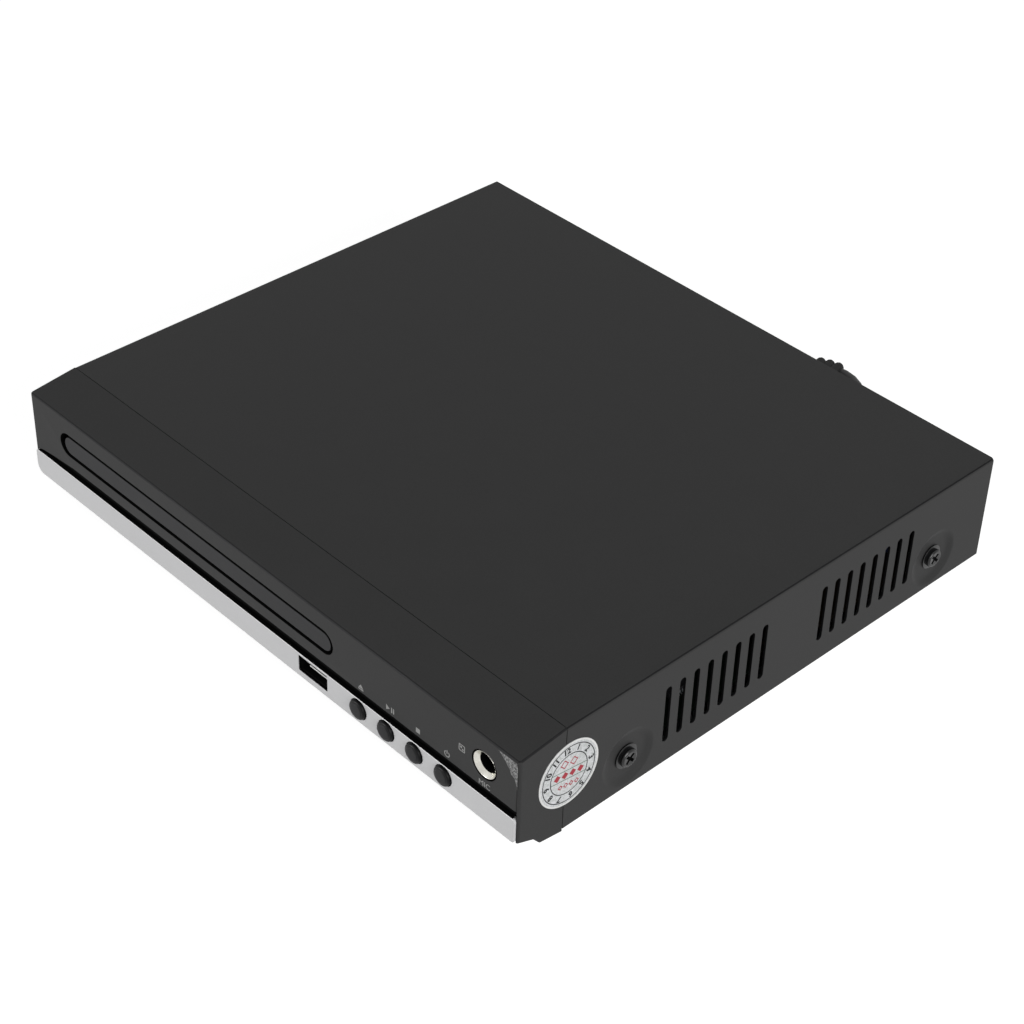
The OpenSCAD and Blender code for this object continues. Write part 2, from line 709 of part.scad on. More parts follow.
// --- tray drive ---
module tray_gear() color("#f0efe8") bench() {
    translate([gear_x, gear_y, 0]) difference() {
        union() {
            translate([0, 0, 12.1]) gear(train_gear_teeth, train_module, 3);
            post(0, 0, [15, 22.7], 4);
            translate([0, 0, 22.6]) gear(tray_gear_teeth, rack_module, disc_floor_z - 0.3 - 22.6);
        }
        post(0, 0, [12, disc_floor_z], gear_pin_r + run_gap);
    }
}
module pulley_gear() color("#f0efe8") bench() {
    translate([pulley_x, gear_y, 0]) difference() {
        union() {
            translate([0, 0, 12.1]) rotate([0, 0, 180 / train_pinion_teeth])
                gear(train_pinion_teeth, train_module, 3.6);
            post(0, 0, [15.7, 16.7], pulley_r + 1.4);
            post(0, 0, [16.6, 19], pulley_r);
            post(0, 0, [18.9, 19.9], pulley_r + 1.4);
        }
        post(0, 0, [12, 20], gear_pin_r + run_gap);
    }
}
module motor_pulley() color("#b9984f") bench() {
    translate([motor_x, gear_y, 0]) difference() {
        union() {
            post(0, 0, [15.9, 16.7], motor_pulley_r + 1.2);
            post(0, 0, [16.6, 19], motor_pulley_r);
            post(0, 0, [18.9, 19.7], motor_pulley_r + 1.2);
        }
        post(0, 0, [15, 20], 1);
    }
    post(motor_x, gear_y, [10, 20.2], 1);
}
// The outline of a belt round both pulleys: an arc on each, joined by the straight runs that touch them
function arc(middle, r, from, to, steps) = [for (i = [0:steps]) middle + turned(r, from + (to - from) * i / steps)];
module belt_outline(grow) {
    big = pulley_r + grow;
    small = motor_pulley_r + grow;
    lean = asin((big - small) / (pulley_x - motor_x));
    polygon(concat(arc([pulley_x, gear_y], big, -90 - lean, 90 + lean, 36),
        arc([motor_x, gear_y], small, 90 + lean, 270 - lean, 18)));
}
module drive_belt() color("#1a1a1a") bench() {
    translate([0, 0, belt_z[0]]) linear_extrude(belt_z[1] - belt_z[0]) difference() {
        belt_outline(0.15 + belt_t);
        belt_outline(0.15);
    }
}
module tray_motor() color("#c2c4c6") bench() {
    difference() {
        union() {
            post(motor_x, gear_y, [pan_top + 0.2, 14], motor_r);
            post(motor_x, gear_y, [14, 14.8], 3);
        }
        post(motor_x, gear_y, [9, 16], 1 + run_gap);
    }
}
module cam_slider() color("#e8e6dc") bench() {
    span = [loader_x - cam_pin_x - 10, loader_x + cam_pin_x + 10 + cam_travel];
    slope = atan(cam_drop / cam_travel);
    difference() {
        slab(span, cam_y, cam_z);
        for (side = [-1, 1])
            translate([loader_x + side * cam_pin_x, 0, cam_pin_z]) {
                rotate([0, slope, 0])
                    slab([0, norm([cam_travel, cam_drop])], [cam_y[0] - 1, cam_y[1] + 1],
                        [-cam_slot_r, cam_slot_r]);
                for (step = [0, 1])
                    pin_y(step * cam_travel, [cam_y[0] - 1, cam_y[1] + 1], -step * cam_drop, cam_slot_r);
            }
    }
}

// --- disc drive ---
module traverse_frame() color("#3a3a3c") bench() {
    z = [14, 19.5];
    translate([loader_x, 0, 0]) {
        difference() {
            slab([-frame_half, frame_half], [37.5, hinge_y + 1], z);
            slab([-frame_in, frame_in], [42.5, hinge_y - 4], [z[0] - 1, z[1] + 1]);
        }
        for (side = [0, 1])
            mirror([side, 0, 0]) {
                pin_x([frame_half - 5, frame_half], hinge_y, hinge_z, 3.6);
                pin_x([frame_half - 5, frame_half + 3], hinge_y, hinge_z, hinge_r);
                pin_y(cam_pin_x, [cam_y[0] + 0.4, 38.5], cam_pin_z, gear_pin_r);
                pin_y(cam_pin_x, [37.5, 40.5], cam_pin_z, 2.6);
                for (y = damper_y)
                    difference() {
                        union() {
                            post(damper_x, y, [z[0], damper_z], 4.6);
                            slab([damper_x, frame_in + 1], [y - 4, y + 4], [z[0], damper_z]);
                        }
                        post(damper_x, y, [z[0] - 1, damper_z + 1], screw_r);
                    }
            }
    }
}
module dampers() color("#252527") bench() {
    for (side = [-1, 1], y = damper_y)
        translate([loader_x + side * damper_x, y, 0]) difference() {
            union() {
                post(0, 0, [damper_z, damper_z + 1.6], 3.8);
                post(0, 0, [damper_z + 1.5, plate_z[0] - 1.5], 2.8);
                post(0, 0, [plate_z[0] - 1.6, plate_z[0]], 3.8);
            }
            post(0, 0, [damper_z - 1, plate_z[0] + 1], screw_r);
        }
}
module damper_screws() color("#c9c9c4") bench() {
    for (side = [-1, 1], y = damper_y)
        translate([loader_x + side * damper_x, y, 0]) {
            post(0, 0, [14.2, plate_z[1]], screw_r);
            post(0, 0, [plate_z[1], plate_z[1] + 1.2], 2.9);
        }
}
module drive_plate() color("#a9adb0") bench() {
    hole_y = [spindle_y + 14, hinge_y - 6.5];
    translate([loader_x, 0, 0]) difference() {
        union() {
            slab([-plate_half, plate_half], [41, hinge_y - 2], plate_z);
            for (side = [-1, 1], y = [[rod_y[0], rod_y[0] + 2.6], [rod_y[1] - 2.6, rod_y[1]]])
                slab([side * rod_x - 2.5, side * rod_x + 2.5], y, [rod_z - 2.6, plate_z[0]]);
            slab([screw_x - 2, screw_x + 2], [sled_screw_y[1] - 3, sled_screw_y[1]],
                [sled_screw_z - 2.4, plate_z[0]]);
        }
        slab([-28.5, 28.5], hole_y, [plate_z[0] - 1, plate_z[1] + 1]);
        post(0, spindle_y, [plate_z[0] - 1, plate_z[1] + 1], 4.4);
        for (side = [-1, 1])
            pin_y(side * rod_x, rod_y + [-1, 1], rod_z, rod_r);
        for (side = [-1, 1], y = damper_y)
            post(side * damper_x, y, [plate_z[0] - 1, plate_z[1] + 1], screw_r);
        pin_y(screw_x, [sled_screw_y[1] - 4, sled_screw_y[1] + 1], sled_screw_z, 1.3 + run_gap);
    }
}
module spindle_motor() color("#7b7f82") bench() {
    translate([loader_x, spindle_y, 0]) difference() {
        union() {
            post(0, 0, [12.6, plate_z[0]], 12);
            post(0, 0, [plate_z[0] - 0.1, 22.6], 4.3);
        }
        post(0, 0, [13.6, 23], spindle_r + run_gap);
    }
}
module turntable() color("#303033") bench() {
    translate([loader_x, spindle_y, 0]) {
        post(0, 0, [14, 24], spindle_r);
        post(0, 0, [23, turntable_z - 1.4], 5);
        difference() {
            post(0, 0, [turntable_z - 1.6, turntable_z - 0.1], turntable_r);
            difference() {
                post(0, 0, [turntable_z - 0.7, turntable_z + 1], turntable_r - 0.6);
                post(0, 0, [turntable_z - 2, turntable_z + 2], turntable_r - 3.6);
            }
        }
        translate([0, 0, turntable_z - 0.2]) cylinder(r1 = 7.4, r2 = 5.6, h = 2);
    }
}
module turntable_mat() color("#141414") bench() {
    translate([loader_x, spindle_y, 0]) difference() {
        post(0, 0, [turntable_z - 0.7, turntable_z], turntable_r - 0.6);
        post(0, 0, [turntable_z - 2, turntable_z + 2], turntable_r - 3.6);
    }
}
module guide_rods() color("#d9dadb") bench() {
    for (side = [-1, 1])
        pin_y(loader_x + side * rod_x, rod_y, rod_z, rod_r);
}
module optical_pickup() color("#4c4f52") bench() {
    mid_y = (sled_y[0] + sled_y[1]) / 2;
    translate([loader_x, 0, 0]) difference() {
        union() {
            slab([-rod_x + 3, rod_x - 3], sled_y, [14, 22]);
            slab([-10, 10], [lens_y - 7, lens_y + 9], [21.9, 26]);
            pin_y(rod_x, sled_y, rod_z, 3.2);
            slab([rod_x - 4, rod_x], sled_y, [rod_z - 2.6, rod_z + 2.6]);
            slab([-rod_x - 2.4, -rod_x + 4], [mid_y - 4, mid_y + 4], [rod_z + rod_r + 0.1, rod_z + rod_r + 2.2]);
            slab([-rod_x - 2.4, -rod_x + 4], [mid_y - 4, mid_y + 4], [rod_z - rod_r - 2.2, rod_z - rod_r - 0.1]);
            slab([rod_x, screw_x - 1.3 - 0.25], [lens_y - 3, lens_y + 3],
                [sled_screw_z - 1, sled_screw_z + 1.4]);
        }
        pin_y(rod_x, sled_y + [-1, 1], rod_z, rod_r + run_gap);
        post(0, lens_y, [24, 27], 3.4);
    }
}
module pickup_lens() color("#7d8fc9") bench() {
    translate([loader_x, lens_y, 0]) {
        post(0, 0, [24, 27.2], 3.3);
        intersection() {
            translate([0, 0, 24.4]) sphere(4);
            post(0, 0, [27.1, 29], 2.6);
        }
    }
}
module sled_screw() color("#c8c9c9") bench() {
    x = loader_x + screw_x;
    pin_y(x, [sled_screw_y[0] - 2, sled_screw_y[1]], sled_screw_z, 1.3);
}
module sled_motor() color("#bfc1c3") bench() {
    x = loader_x + screw_x;
    difference() {
        union() {
            pin_y(x, [sled_screw_y[0] - 13.4, sled_screw_y[0] - 0.4], sled_screw_z, 4.9);
            slab([x - 2.5, x + 2.5], [sled_screw_y[0] - 12, sled_screw_y[0] - 2], [sled_screw_z, plate_z[0]]);
        }
        pin_y(x, [sled_screw_y[0] - 3, sled_screw_y[0] + 1], sled_screw_z, 1.3 + run_gap);
    }
}

// --- controls and sockets on the front ---
module button(x) {
    front = face_y - strip_proud - button_proud;
    flange_y = [inner_face_y + fit, cap_rear_y];
    bench() {
        translate([x, front, button_z]) rotate([-90, 0, 0])
            rotate_extrude() polygon([
                [0, 0], [button_r * 0.5, 0.1], [button_r - 0.9, 0.3], [button_r - 0.3, 0.6],
                [button_r, 1], [button_r, cap_rear_y - front], [0, cap_rear_y - front]]);
        intersection() {
            pin_y(x, flange_y, button_z, button_r + 1.2);
            slab([x - 9, x + 9], flange_y, [strip_z + panel_t / 2 + fit, strip_top + 3]);
        }
    }
}
module eject_button() color("#1c1c1e") button(button_x[0]);
module play_button() color("#1c1c1e") button(button_x[1]);
module stop_button() color("#1c1c1e") button(button_x[2]);
module power_button() color("#1c1c1e") button(button_x[3]);
module front_board() color("#2f6b3c") bench() {
    difference() {
        slab(board_x, board_y, board_z);
        for (x = board_post_x)
            pin_y(x, [board_y[0] - 1, board_y[1] + 1], board_post_z, tap_r);
    }
}
module tap_switches() color("#c7c7c2") bench() {
    for (x = button_x) {
        slab([x - 3, x + 3], [board_y[0] - 3.5, board_y[0]], [button_z - 3, button_z + 3]);
        pin_y(x, [switch_tip_y, board_y[0] - 3.4], button_z, 1.7);
    }
}
module data_socket() color("#c9c9c6") bench() {
    t = 0.35;
    y = [face_y + 0.5, board_y[0]];
    difference() {
        slab([data_x - data_w / 2, data_x + data_w / 2], y, [button_z - data_h / 2, button_z + data_h / 2]);
        slab([data_x - data_w / 2 + t, data_x + data_w / 2 - t], [y[0] - 1, y[1] - 1.5],
            [button_z - data_h / 2 + t, button_z + data_h / 2 - t]);
    }
    slab([data_x - 5.5, data_x + 5.5], [y[0] + 0.8, y[1] - 1], [button_z + 0.1, button_z + 1.9]);
}
module mic_socket() color("#cfcec8") bench() {
    front = face_y + 0.1;
    difference() {
        union() {
            pin_y(mic_x, [front, -12], mic_z, 4.45);
            pin_y(mic_x, [inner_face_y, inner_face_y + 2], mic_z, 6.4);
            slab([mic_x - 7.5, mic_x + 7.5], [-12.5, front + mic_depth + 2], [mic_z - 7, mic_z + 7]);
        }
        pin_y(mic_x, [front - 1, front + mic_depth], mic_z, mic_bore_r);
    }
}

// --- boards ---
module board(x, y, z) {
    difference() {
        slab(x, y, z);
        for (s = board_stands())
            post(s[0], s[1], [z[0] - 1, z[1] + 1], screw_r);
    }
}
module main_board() color("#2c7a45") bench() board(main_x, main_y, shelf_z);
module chip(x, y, w, h, top) {
    slab([x - w / 2, x + w / 2], [y - h / 2, y + h / 2], [top, top + 1.8]);
}
module main_chips() color("#1b1b1d") bench() {
    top = shelf_z[1];
    chip(main_mid - 2, main_y[0] + 40, 24, 24, top);
    chip(main_mid, main_y[0] + 18, 12, 16, top);
    chip(main_x[0] + 12, main_y[0] + 33, 8, 12, top);
    chip(main_x[1] - 12, main_y[0] + 40, 10, 10, top);
    chip(main_mid + 2, main_y[1] - 12, 0.36 * (main_x[1] - main_x[0]), 7, top);
}
module power_board() color("#b98a4a") bench() board(power_x, power_y, shelf_z);
module transformer() color("#d8b23c") bench() {
    x = [power_mid - 11, power_mid + 11];
    y = [power_y[0] + 26, power_y[0] + 46];
    top = shelf_z[1];
    slab(x, y, [top, top + 3]);
    slab(x + [3, -3], y + [3, -3], [top + 2.9, top + 15]);
    difference() {
        slab(x + [1, -1], y + [6, -6], [top + 2.9, top + 18]);
        slab(x + [4, -4], y, [top + 2, top + 15]);
    }
}
module capacitors() color("#27304a") bench() {
    top = shelf_z[1];
    post(power_x[1] - 13, power_y[0] + 56, [top, top + 22], 6.5);
    post(power_x[0] + 12, power_y[0] + 18, [top, top + 14], 4);
    post(power_x[0] + 22, power_y[0] + 15, [top, top + 14], 4);
    post(power_x[0] + 33, power_y[0] + 14, [top, top + 12], 3.2);
    post(main_x[0] + 10, main_y[1] - 13, [top, top + 9], 3.2);
    post(main_x[0] + 10, main_y[0] + 16, [top, top + 9], 3.2);
}
module heat_sink() color("#b7babc") bench() {
    top = shelf_z[1];
    x = power_x[0] + 5;
    slab([x - 1, x + 1], [power_y[0] + 28, power_y[0] + 54], [top, top + 20]);
    for (k = [0:3])
        slab([x, x + 5], [power_y[0] + 28 + 8 * k, power_y[0] + 29.4 + 8 * k], [top, top + 20]);
}
module fuse() color("#d5d7d0") bench() {
    top = shelf_z[1];
    x = power_x[0] + 21;
    z = top + 3.5;
    pin_x([x - 10, x + 10], power_y[0] + 68, z, 2.6);
    for (end = [x - 8, x + 8])
        slab([end - 1.5, end + 1.5], [power_y[0] + 65, power_y[0] + 71], [top, z - 1.5]);
}
module av_board() color("#2c7a45") bench() board(av_x, av_y, av_z);
module phono_sockets() color("#26272a") bench() {
    slab([phono_x[0] - 7, phono_x[3] + 7], [case_d - 13, case_d - sheet_t - fit], [av_z[1], phono_z + 4.7]);
    for (x = phono_x) {
        tube_y(x, [case_d - sheet_t - fit - 0.01, case_d + 0.5], phono_z, phono_r - 0.3, 3.4);
        tube_y(x, [case_d + fit, case_d + 0.9], phono_z, phono_r + 1.3, 3.4);
        tube_y(x, [case_d + 0.89, rear_reach], phono_z, phono_r, 3.4);
    }
}
module board_screws() color("#c9c9c4") bench() {
    for (s = board_stands())
        translate([s[0], s[1], s[2] + 1.6]) {
            post(0, 0, [-6, 0], screw_r);
            post(0, 0, [0, 1.8], 2.8);
        }
    for (x = board_post_x) {
        pin_y(x, [board_y[0] - 6, board_y[1]], board_post_z, tap_r);
        pin_y(x, [board_y[1], board_y[1] + 1.4], board_post_z, 2.2);
    }
}
module wire_harness() color("#b33a2e") bench() {
    z = [shelf_z[1], shelf_z[1] + 1.4];
    slab([main_x[1] - 24, main_x[1] - 12], [main_y[1] - 8, power_y[0] + 8], z);
    slab([main_x[0] + 8, main_x[0] + 26], [board_y[1], main_y[0] + 8], z);
}

// --- mains lead ---
module strain_relief() color("#151515") {
    translate([relief_x, rear_y - 3, relief_z]) rotate([-90, 0, 0]) {
        cylinder(r = lead_r + 2.5, h = 3);
        translate([0, 0, 3]) cylinder(r = lead_r + 3.4, h = 1.6);
        translate([0, 0, 4.6]) cylinder(r1 = lead_r + 2, r2 = lead_r + 0.6, h = relief_len - 1.6);
    }
}
module mains_lead() color("#1b1b1b") {
    cord(lead_out, lead_r, 8);
    cord(lead_in, lead_r, 8);
}
module lead_coil() color("#1b1b1b") {
    half = coil_turns * lead_d / 2;
    translate([coil_xy[0], coil_xy[1], 0]) rotate_extrude() translate([coil_turn_r - half, 0])
        square([2 * half, 2 * half]);
}
module lead_tie() color("#101010") {
    half = coil_turns * lead_d / 2;
    for (k = [-1:1])
        translate([coil_xy[0], coil_xy[1], 0]) rotate([0, 0, tie_angle + 9.5 * k - 3.2])
            rotate_extrude(angle = 6.4) difference() {
                translate([coil_turn_r - half - 1.5, 0]) square([2 * half + 3, 2 * half + 1.5]);
                translate([coil_turn_r - half, -1]) square([2 * half, 2 * half + 1]);
            }
}
module plug() color("#161616") {
    body_l = 34;
    body_w = 35;
    translate([plug_x, plug_y, plug_z]) {
        pin_x([0, 4], 0, 0, lead_r + 1);
        slab([-body_l, 0.01], [-body_w / 2 + 5, body_w / 2 - 5], [-plug_z, plug_z]);
        slab([-body_l, -body_l / 2], [-body_w / 2, body_w / 2], [-plug_z, plug_z]);
        for (side = [-1, 1])
            pin_x([-body_l - 19, -body_l + 1], side * 9.5, 0, 2);
    }
}

top_cover();
base_pan();
rear_panel();
front_panel();
trim_strip();
feet();
cover_screws();
rear_screws();
seal_label();
tray();
tray_door();
loader_frame();
loader_screws();
clamp_bridge();
clamper();
clamper_magnet();
tray_gear();
pulley_gear();
motor_pulley();
drive_belt();
tray_motor();
cam_slider();
traverse_frame();
dampers();
damper_screws();
drive_plate();
spindle_motor();
turntable();
turntable_mat();
guide_rods();
optical_pickup();
pickup_lens();
sled_screw();
sled_motor();
front_board();
tap_switches();
eject_button();
play_button();
stop_button();
power_button();
data_socket();
mic_socket();
main_board();
main_chips();
power_board();
transformer();
capacitors();
heat_sink();
fuse();
av_board();
phono_sockets();
board_screws();
wire_harness();
strain_relief();
mains_lead();
lead_coil();
lead_tie();
plug();
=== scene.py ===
"""Looks of a disc player with a loading tray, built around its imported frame.

The frame is in metres, +Z up from the floor, and the front faces -Y. Shapes are drawn in millimetres
and settled into metres, and each rides on the body that the frame gives it.
"""

from __future__ import annotations

import json
import logging
import math
from collections.abc import Callable, Sequence
from dataclasses import dataclass, field
from enum import Enum

import bmesh
import bpy
from mathutils import Matrix, Vector

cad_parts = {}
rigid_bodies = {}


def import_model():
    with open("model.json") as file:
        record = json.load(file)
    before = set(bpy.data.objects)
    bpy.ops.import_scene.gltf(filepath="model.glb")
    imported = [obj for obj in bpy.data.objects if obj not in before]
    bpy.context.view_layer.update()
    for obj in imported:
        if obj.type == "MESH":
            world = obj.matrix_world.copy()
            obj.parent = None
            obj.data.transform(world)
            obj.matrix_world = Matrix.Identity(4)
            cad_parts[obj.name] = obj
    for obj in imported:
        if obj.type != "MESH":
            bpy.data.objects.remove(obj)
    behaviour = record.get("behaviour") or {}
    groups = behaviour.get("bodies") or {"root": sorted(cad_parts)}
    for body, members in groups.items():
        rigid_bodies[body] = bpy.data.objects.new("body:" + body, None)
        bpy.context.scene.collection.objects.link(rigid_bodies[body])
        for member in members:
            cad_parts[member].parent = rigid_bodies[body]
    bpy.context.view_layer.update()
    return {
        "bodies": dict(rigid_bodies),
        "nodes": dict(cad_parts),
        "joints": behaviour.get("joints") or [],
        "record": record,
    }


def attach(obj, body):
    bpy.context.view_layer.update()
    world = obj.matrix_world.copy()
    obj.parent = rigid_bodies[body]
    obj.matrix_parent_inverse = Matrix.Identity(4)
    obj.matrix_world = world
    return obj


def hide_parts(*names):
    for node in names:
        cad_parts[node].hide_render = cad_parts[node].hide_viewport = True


log = logging.getLogger("disc_player")
MM = 0.001
Point = tuple[float, float]
Place = tuple[float, float, float]
Loop = Sequence[Point]
Piece = bpy.types.Object
Tree = bpy.types.NodeTree
Socket = bpy.types.NodeSocket

# Places that several sub-assemblies share
PANEL_FACE = -105.4
REAR_FACE = 98.8
MIC_AT = (101.3, 28.8)
BUTTONS = {"eject_button": 48.6, "play_button": 60.8, "stop_button": 73.0, "power_button": 85.2}
BUTTON_ROW = 13.65
SIDE_SCREWS = (-62.5, 74.0)
SIDE_SCREW_ROW = 14.4
REAR_SCREWS = (-105.8, -8.0, 54.0, 105.8)
REAR_SCREW_ROW = 35.1
# A film of ink: how far it stands out, and how thick it is
INK_LIFT, INK = 0.02, 0.03


# --- colours and finishes ---

WHITE = (1.0, 1.0, 1.0, 1.0)
# Grains of a pattern to one of the soft clouds over it
CLOUD_GRAINS = 40


def linear(code: str) -> tuple[float, float, float, float]:
    """Turn an sRGB hex colour into Blender's linear colour.

    Args:
        code: The colour as "#rrggbb".

    Returns:
        Red, green, blue and an alpha of 1.
    """
    parts = [int(code[k:k + 2], 16) / 255 for k in (1, 3, 5)]
    red, green, blue = (c / 12.92 if c <= 0.04045 else ((c + 0.055) / 1.055) ** 2.4 for c in parts)
    return red, green, blue, 1.0


def add_node(tree: Tree, kind: str, inputs: dict | None = None, **settings: object) -> bpy.types.Node:
    """Add one node with its settings, values and links.

    Args:
        tree: The tree that gets the node.
        kind: Blender's name of the node type.
        inputs: Socket name or number, and its value, or the socket or first output that feeds it.
        settings: The node's own properties.

    Returns:
        The new node.
    """
    node = tree.nodes.new(kind)
    for name, value in settings.items():
        setattr(node, name, value)
    for name, value in (inputs or {}).items():
        if isinstance(value, bpy.types.Node):
            value = value.outputs[0]
        if isinstance(value, Socket):
            tree.links.new(value, node.inputs[name])
        else:
            node.inputs[name].default_value = value
    return node


class Pattern(Enum):
    """How a surface was made, which gives the pattern on it."""

    GRAIN = "grain"
    ROLLED = "rolled"
    FLAKES = "flakes"


@dataclass(frozen=True)
class Finish:
    """One real finish: its colours, its pattern at a real size, and its gloss."""

    name: str
    slot: str
    colour: str
    second: str
    grain_mm: float
    roughness: float
    spread: float = 0.06
    relief_mm: float = 0.01
    metallic: float = 0.0
    specular: float = 0.5
    clear: float = 0.0
    pattern: Pattern = Pattern.GRAIN

    def heights(self, tree: Tree, scale: float) -> Socket:
        """Lay the pattern over the piece.

        Args:
            tree: The material's tree.
            scale: Pattern repeats for each metre.

        Returns:
            A socket that runs from 0 to 1 over the pattern.
        """
        where = add_node(tree, "ShaderNodeTexCoord").outputs["Object"]
        if self.pattern is Pattern.ROLLED:
            # Rolling and drawing stretch the marks of the tools along one way
            drawn = add_node(tree, "ShaderNodeMapping", {"Vector": where, "Scale": (0.06, 1.0, 1.0)})
            return add_node(tree, "ShaderNodeTexNoise", {
                "Vector": drawn, "Scale": scale, "Detail": 3.0}).outputs[0]
        if self.pattern is Pattern.FLAKES:
            cells = add_node(tree, "ShaderNodeTexVoronoi", {"Vector": where, "Scale": scale})
            return cells.outputs["Color"]
        return add_node(tree, "ShaderNodeTexNoise", {
            "Vector": where, "Scale": scale, "Detail": 2.0, "Roughness": 0.6}).outputs[0]

    def material(self) -> bpy.types.Material:
        """Build the finish once, or find it.

        Returns:
            The Blender material.
        """
        known = bpy.data.materials.get(self.name)
        if known:
            return known
        made = bpy.data.materials.new(self.name)
        made.use_nodes = True
        tree = made.node_tree
        shader = next(n for n in tree.nodes if n.type == "BSDF_PRINCIPLED")
        scale = 1000 / self.grain_mm
        fine = self.heights(tree, scale)
        cloud = add_node(tree, "ShaderNodeTexNoise", {
            "Vector": add_node(tree, "ShaderNodeTexCoord").outputs["Object"],
            "Scale": scale / CLOUD_GRAINS, "Detail": 3.0}).outputs[0]
        both = add_node(tree, "ShaderNodeMath", {0: fine, 1: cloud}, operation="ADD")
        share = add_node(tree, "ShaderNodeMapRange", {
            "Value": both, "From Min": 0.7, "From Max": 1.3})
        # Of the mixing node's many sockets, 6 and 7 are its two colours, and output 2 is the mixed one
        blend = add_node(tree, "ShaderNodeMix", {
            0: share, 6: linear(self.colour), 7: linear(self.second)}, data_type="RGBA")
        tree.links.new(blend.outputs[2], shader.inputs["Base Color"])
        gloss = add_node(tree, "ShaderNodeMapRange", {
            "Value": cloud, "From Min": 0.3, "From Max": 0.7,
            "To Min": self.roughness - self.spread, "To Max": self.roughness + self.spread})
        tree.links.new(gloss.outputs[0], shader.inputs["Roughness"])
        bump = add_node(tree, "ShaderNodeBump", {
            "Strength": 0.6, "Distance": self.relief_mm * MM, "Height": fine})
        tree.links.new(bump.outputs[0], shader.inputs["Normal"])
        for name, value in (("Metallic", self.metallic), ("Specular IOR Level", self.specular),
                            ("Transmission Weight", self.clear)):
            shader.inputs[name].default_value = value
        return made


# Stoving enamel sprayed on steel sheet dries to a fine pebble: an even, dull near-black with a soft sheen
COVER_PAINT = Finish("stoved_paint_on_steel", "cover_paint", "#2e2e2e", "#333333", 0.5, 0.55, 0.02, 0.02,
                     specular=0.12)
# Painted shade: the same enamel painted near-black in a fine line over the middle of each bend, where the
# light falls off, and on the cut walls of the vent slots, where shade falls
COVER_PAINTED_SHADE = Finish("primer_at_the_bend", "cover_paint", "#101011", "#161617", 0.5, 0.5, specular=0.08)
# ABS moulded in a spark-eroded tool: a dense matte grain, a shade greyer than the cover
PANEL_ABS = Finish("spark_eroded_abs", "panel_plastic", "#303030", "#353535", 0.45, 0.62, 0.03, 0.02,
                   specular=0.12)
# Painted shade: plain black painted where shade falls, in recesses, gaps and on faces turned away from the
# light
RECESS_PAINTED_SHADE = Finish("recess_abs", "panel_plastic", "#040404", "#070707", 0.6, 0.7, specular=0.04)
# Painted shade: the panel's rounded top edge painted as a darker line of the same ABS, where it turns away
# from the light
PANEL_EDGE_PAINTED_SHADE = Finish("smooth_abs_rim", "panel_plastic", "#161617", "#1c1c1d", 0.5, 0.5, specular=0.1)
# A scrap of wrinkled protective film: grey folds a third of a millimetre apart let the dark plastic through
PANEL_FILM = Finish("wrinkled_film", "panel_plastic", "#2a2a2a", "#8c8c8c", 0.35, 0.4, 0.1, 0.02,
                    specular=0.3, pattern=Pattern.FLAKES)
# Silver lacquer over a smooth moulding: flakes too fine to see leave a pale, faintly cloudy silver
STRIP_LACQUER = Finish("silver_lacquer", "strip_silver", "#bebebf", "#c5c5c6", 0.4, 0.38, 0.05, 0.006,
                       specular=0.4)
# Painted highlight: the strip's upper edge painted near-white, a fine line of light on the same lacquer
STRIP_PAINTED_HIGHLIGHT = Finish("lacquered_rim", "strip_silver", "#ececec", "#f2f2f2", 0.4, 0.3, 0.05, 0.004, specular=0.4)
# Polished ABS: deep black with a soft highlight. On the buttons it is also painted shade: their sides and
# rims are painted darker than their faces
BLACK_ABS_AND_SIDE_SHADE = Finish("satin_black_abs", "black_plastic", "#070708", "#0c0c0d", 0.5, 0.4, 0.05, 0.006,
                    specular=0.12)
# The grained face of a button: dark grey, dry, and painted lighter than the button's sides as the light that
# falls on the face
BUTTON_FACE_PAINTED_LIGHTER = Finish("grained_button_face", "black_plastic", "#222223", "#2a2a2b", 0.4, 0.6, 0.05, 0.015,
                     specular=0.12)
# ABS from a smoother tool than the panel's: black with a wider, softer sheen
TRAY_ABS = Finish("tray_abs", "tray_plastic", "#232325", "#2a2a2c", 0.5, 0.5, 0.03, 0.014, specular=0.3)
# The door repeats the panel's grain, a little darker because it comes from its own tool
DOOR_ABS = Finish("door_abs", "door_plastic", "#2d2d2e", "#323233", 0.45, 0.58, 0.05, 0.02, specular=0.12)
# Black passivated steel: dark, with the dry glint of a phosphate layer
BLACK_SCREW = Finish("black_phosphate_steel", "black_screw", "#050506", "#0b0b0c", 0.3, 0.27, 0.08, 0.012,
                     specular=0.4)
# Bright zinc plate: small, sharp glints, faintly warm
ZINC_SCREW = Finish("zinc_plated_steel", "zinc_screw", "#b9b9b2", "#cfcfc8", 0.4, 0.3, 0.08, 0.006,
                    metallic=1.0)
# Hot-dip galvanised sheet: pale grey with faint crystals of zinc, drawn 3 mm wide so that they show
ZINC_SHEET = Finish("galvanised_sheet", "galvanised_steel", "#8f9698", "#a6acae", 3.0, 0.42, 0.08, 0.004,
                    metallic=0.9, pattern=Pattern.FLAKES)
# Embossed aluminium foil under print: it breaks the light into small pale and grey flakes
LABEL_FOIL = Finish("embossed_foil", "foil_label", "#b2b5b4", "#cfd0d2", 0.45, 0.45, 0.08, 0.012,
                    metallic=0.1, pattern=Pattern.FLAKES)
# Dull printing inks, which hide the foil's glitter
LABEL_WHITE, LABEL_BLACK, LABEL_RED, LABEL_GREEN = (
    Finish(f"label_{ink}_ink", "foil_label", colour, second, 0.5, 0.6, specular=0.2)
    for ink, colour, second in (("white", "#d6d6d4", "#dededc"), ("black", "#060607", "#0c0c0d"),
                                ("red", "#96303a", "#a33c46"), ("green", "#4f6a5c", "#5a7566")))
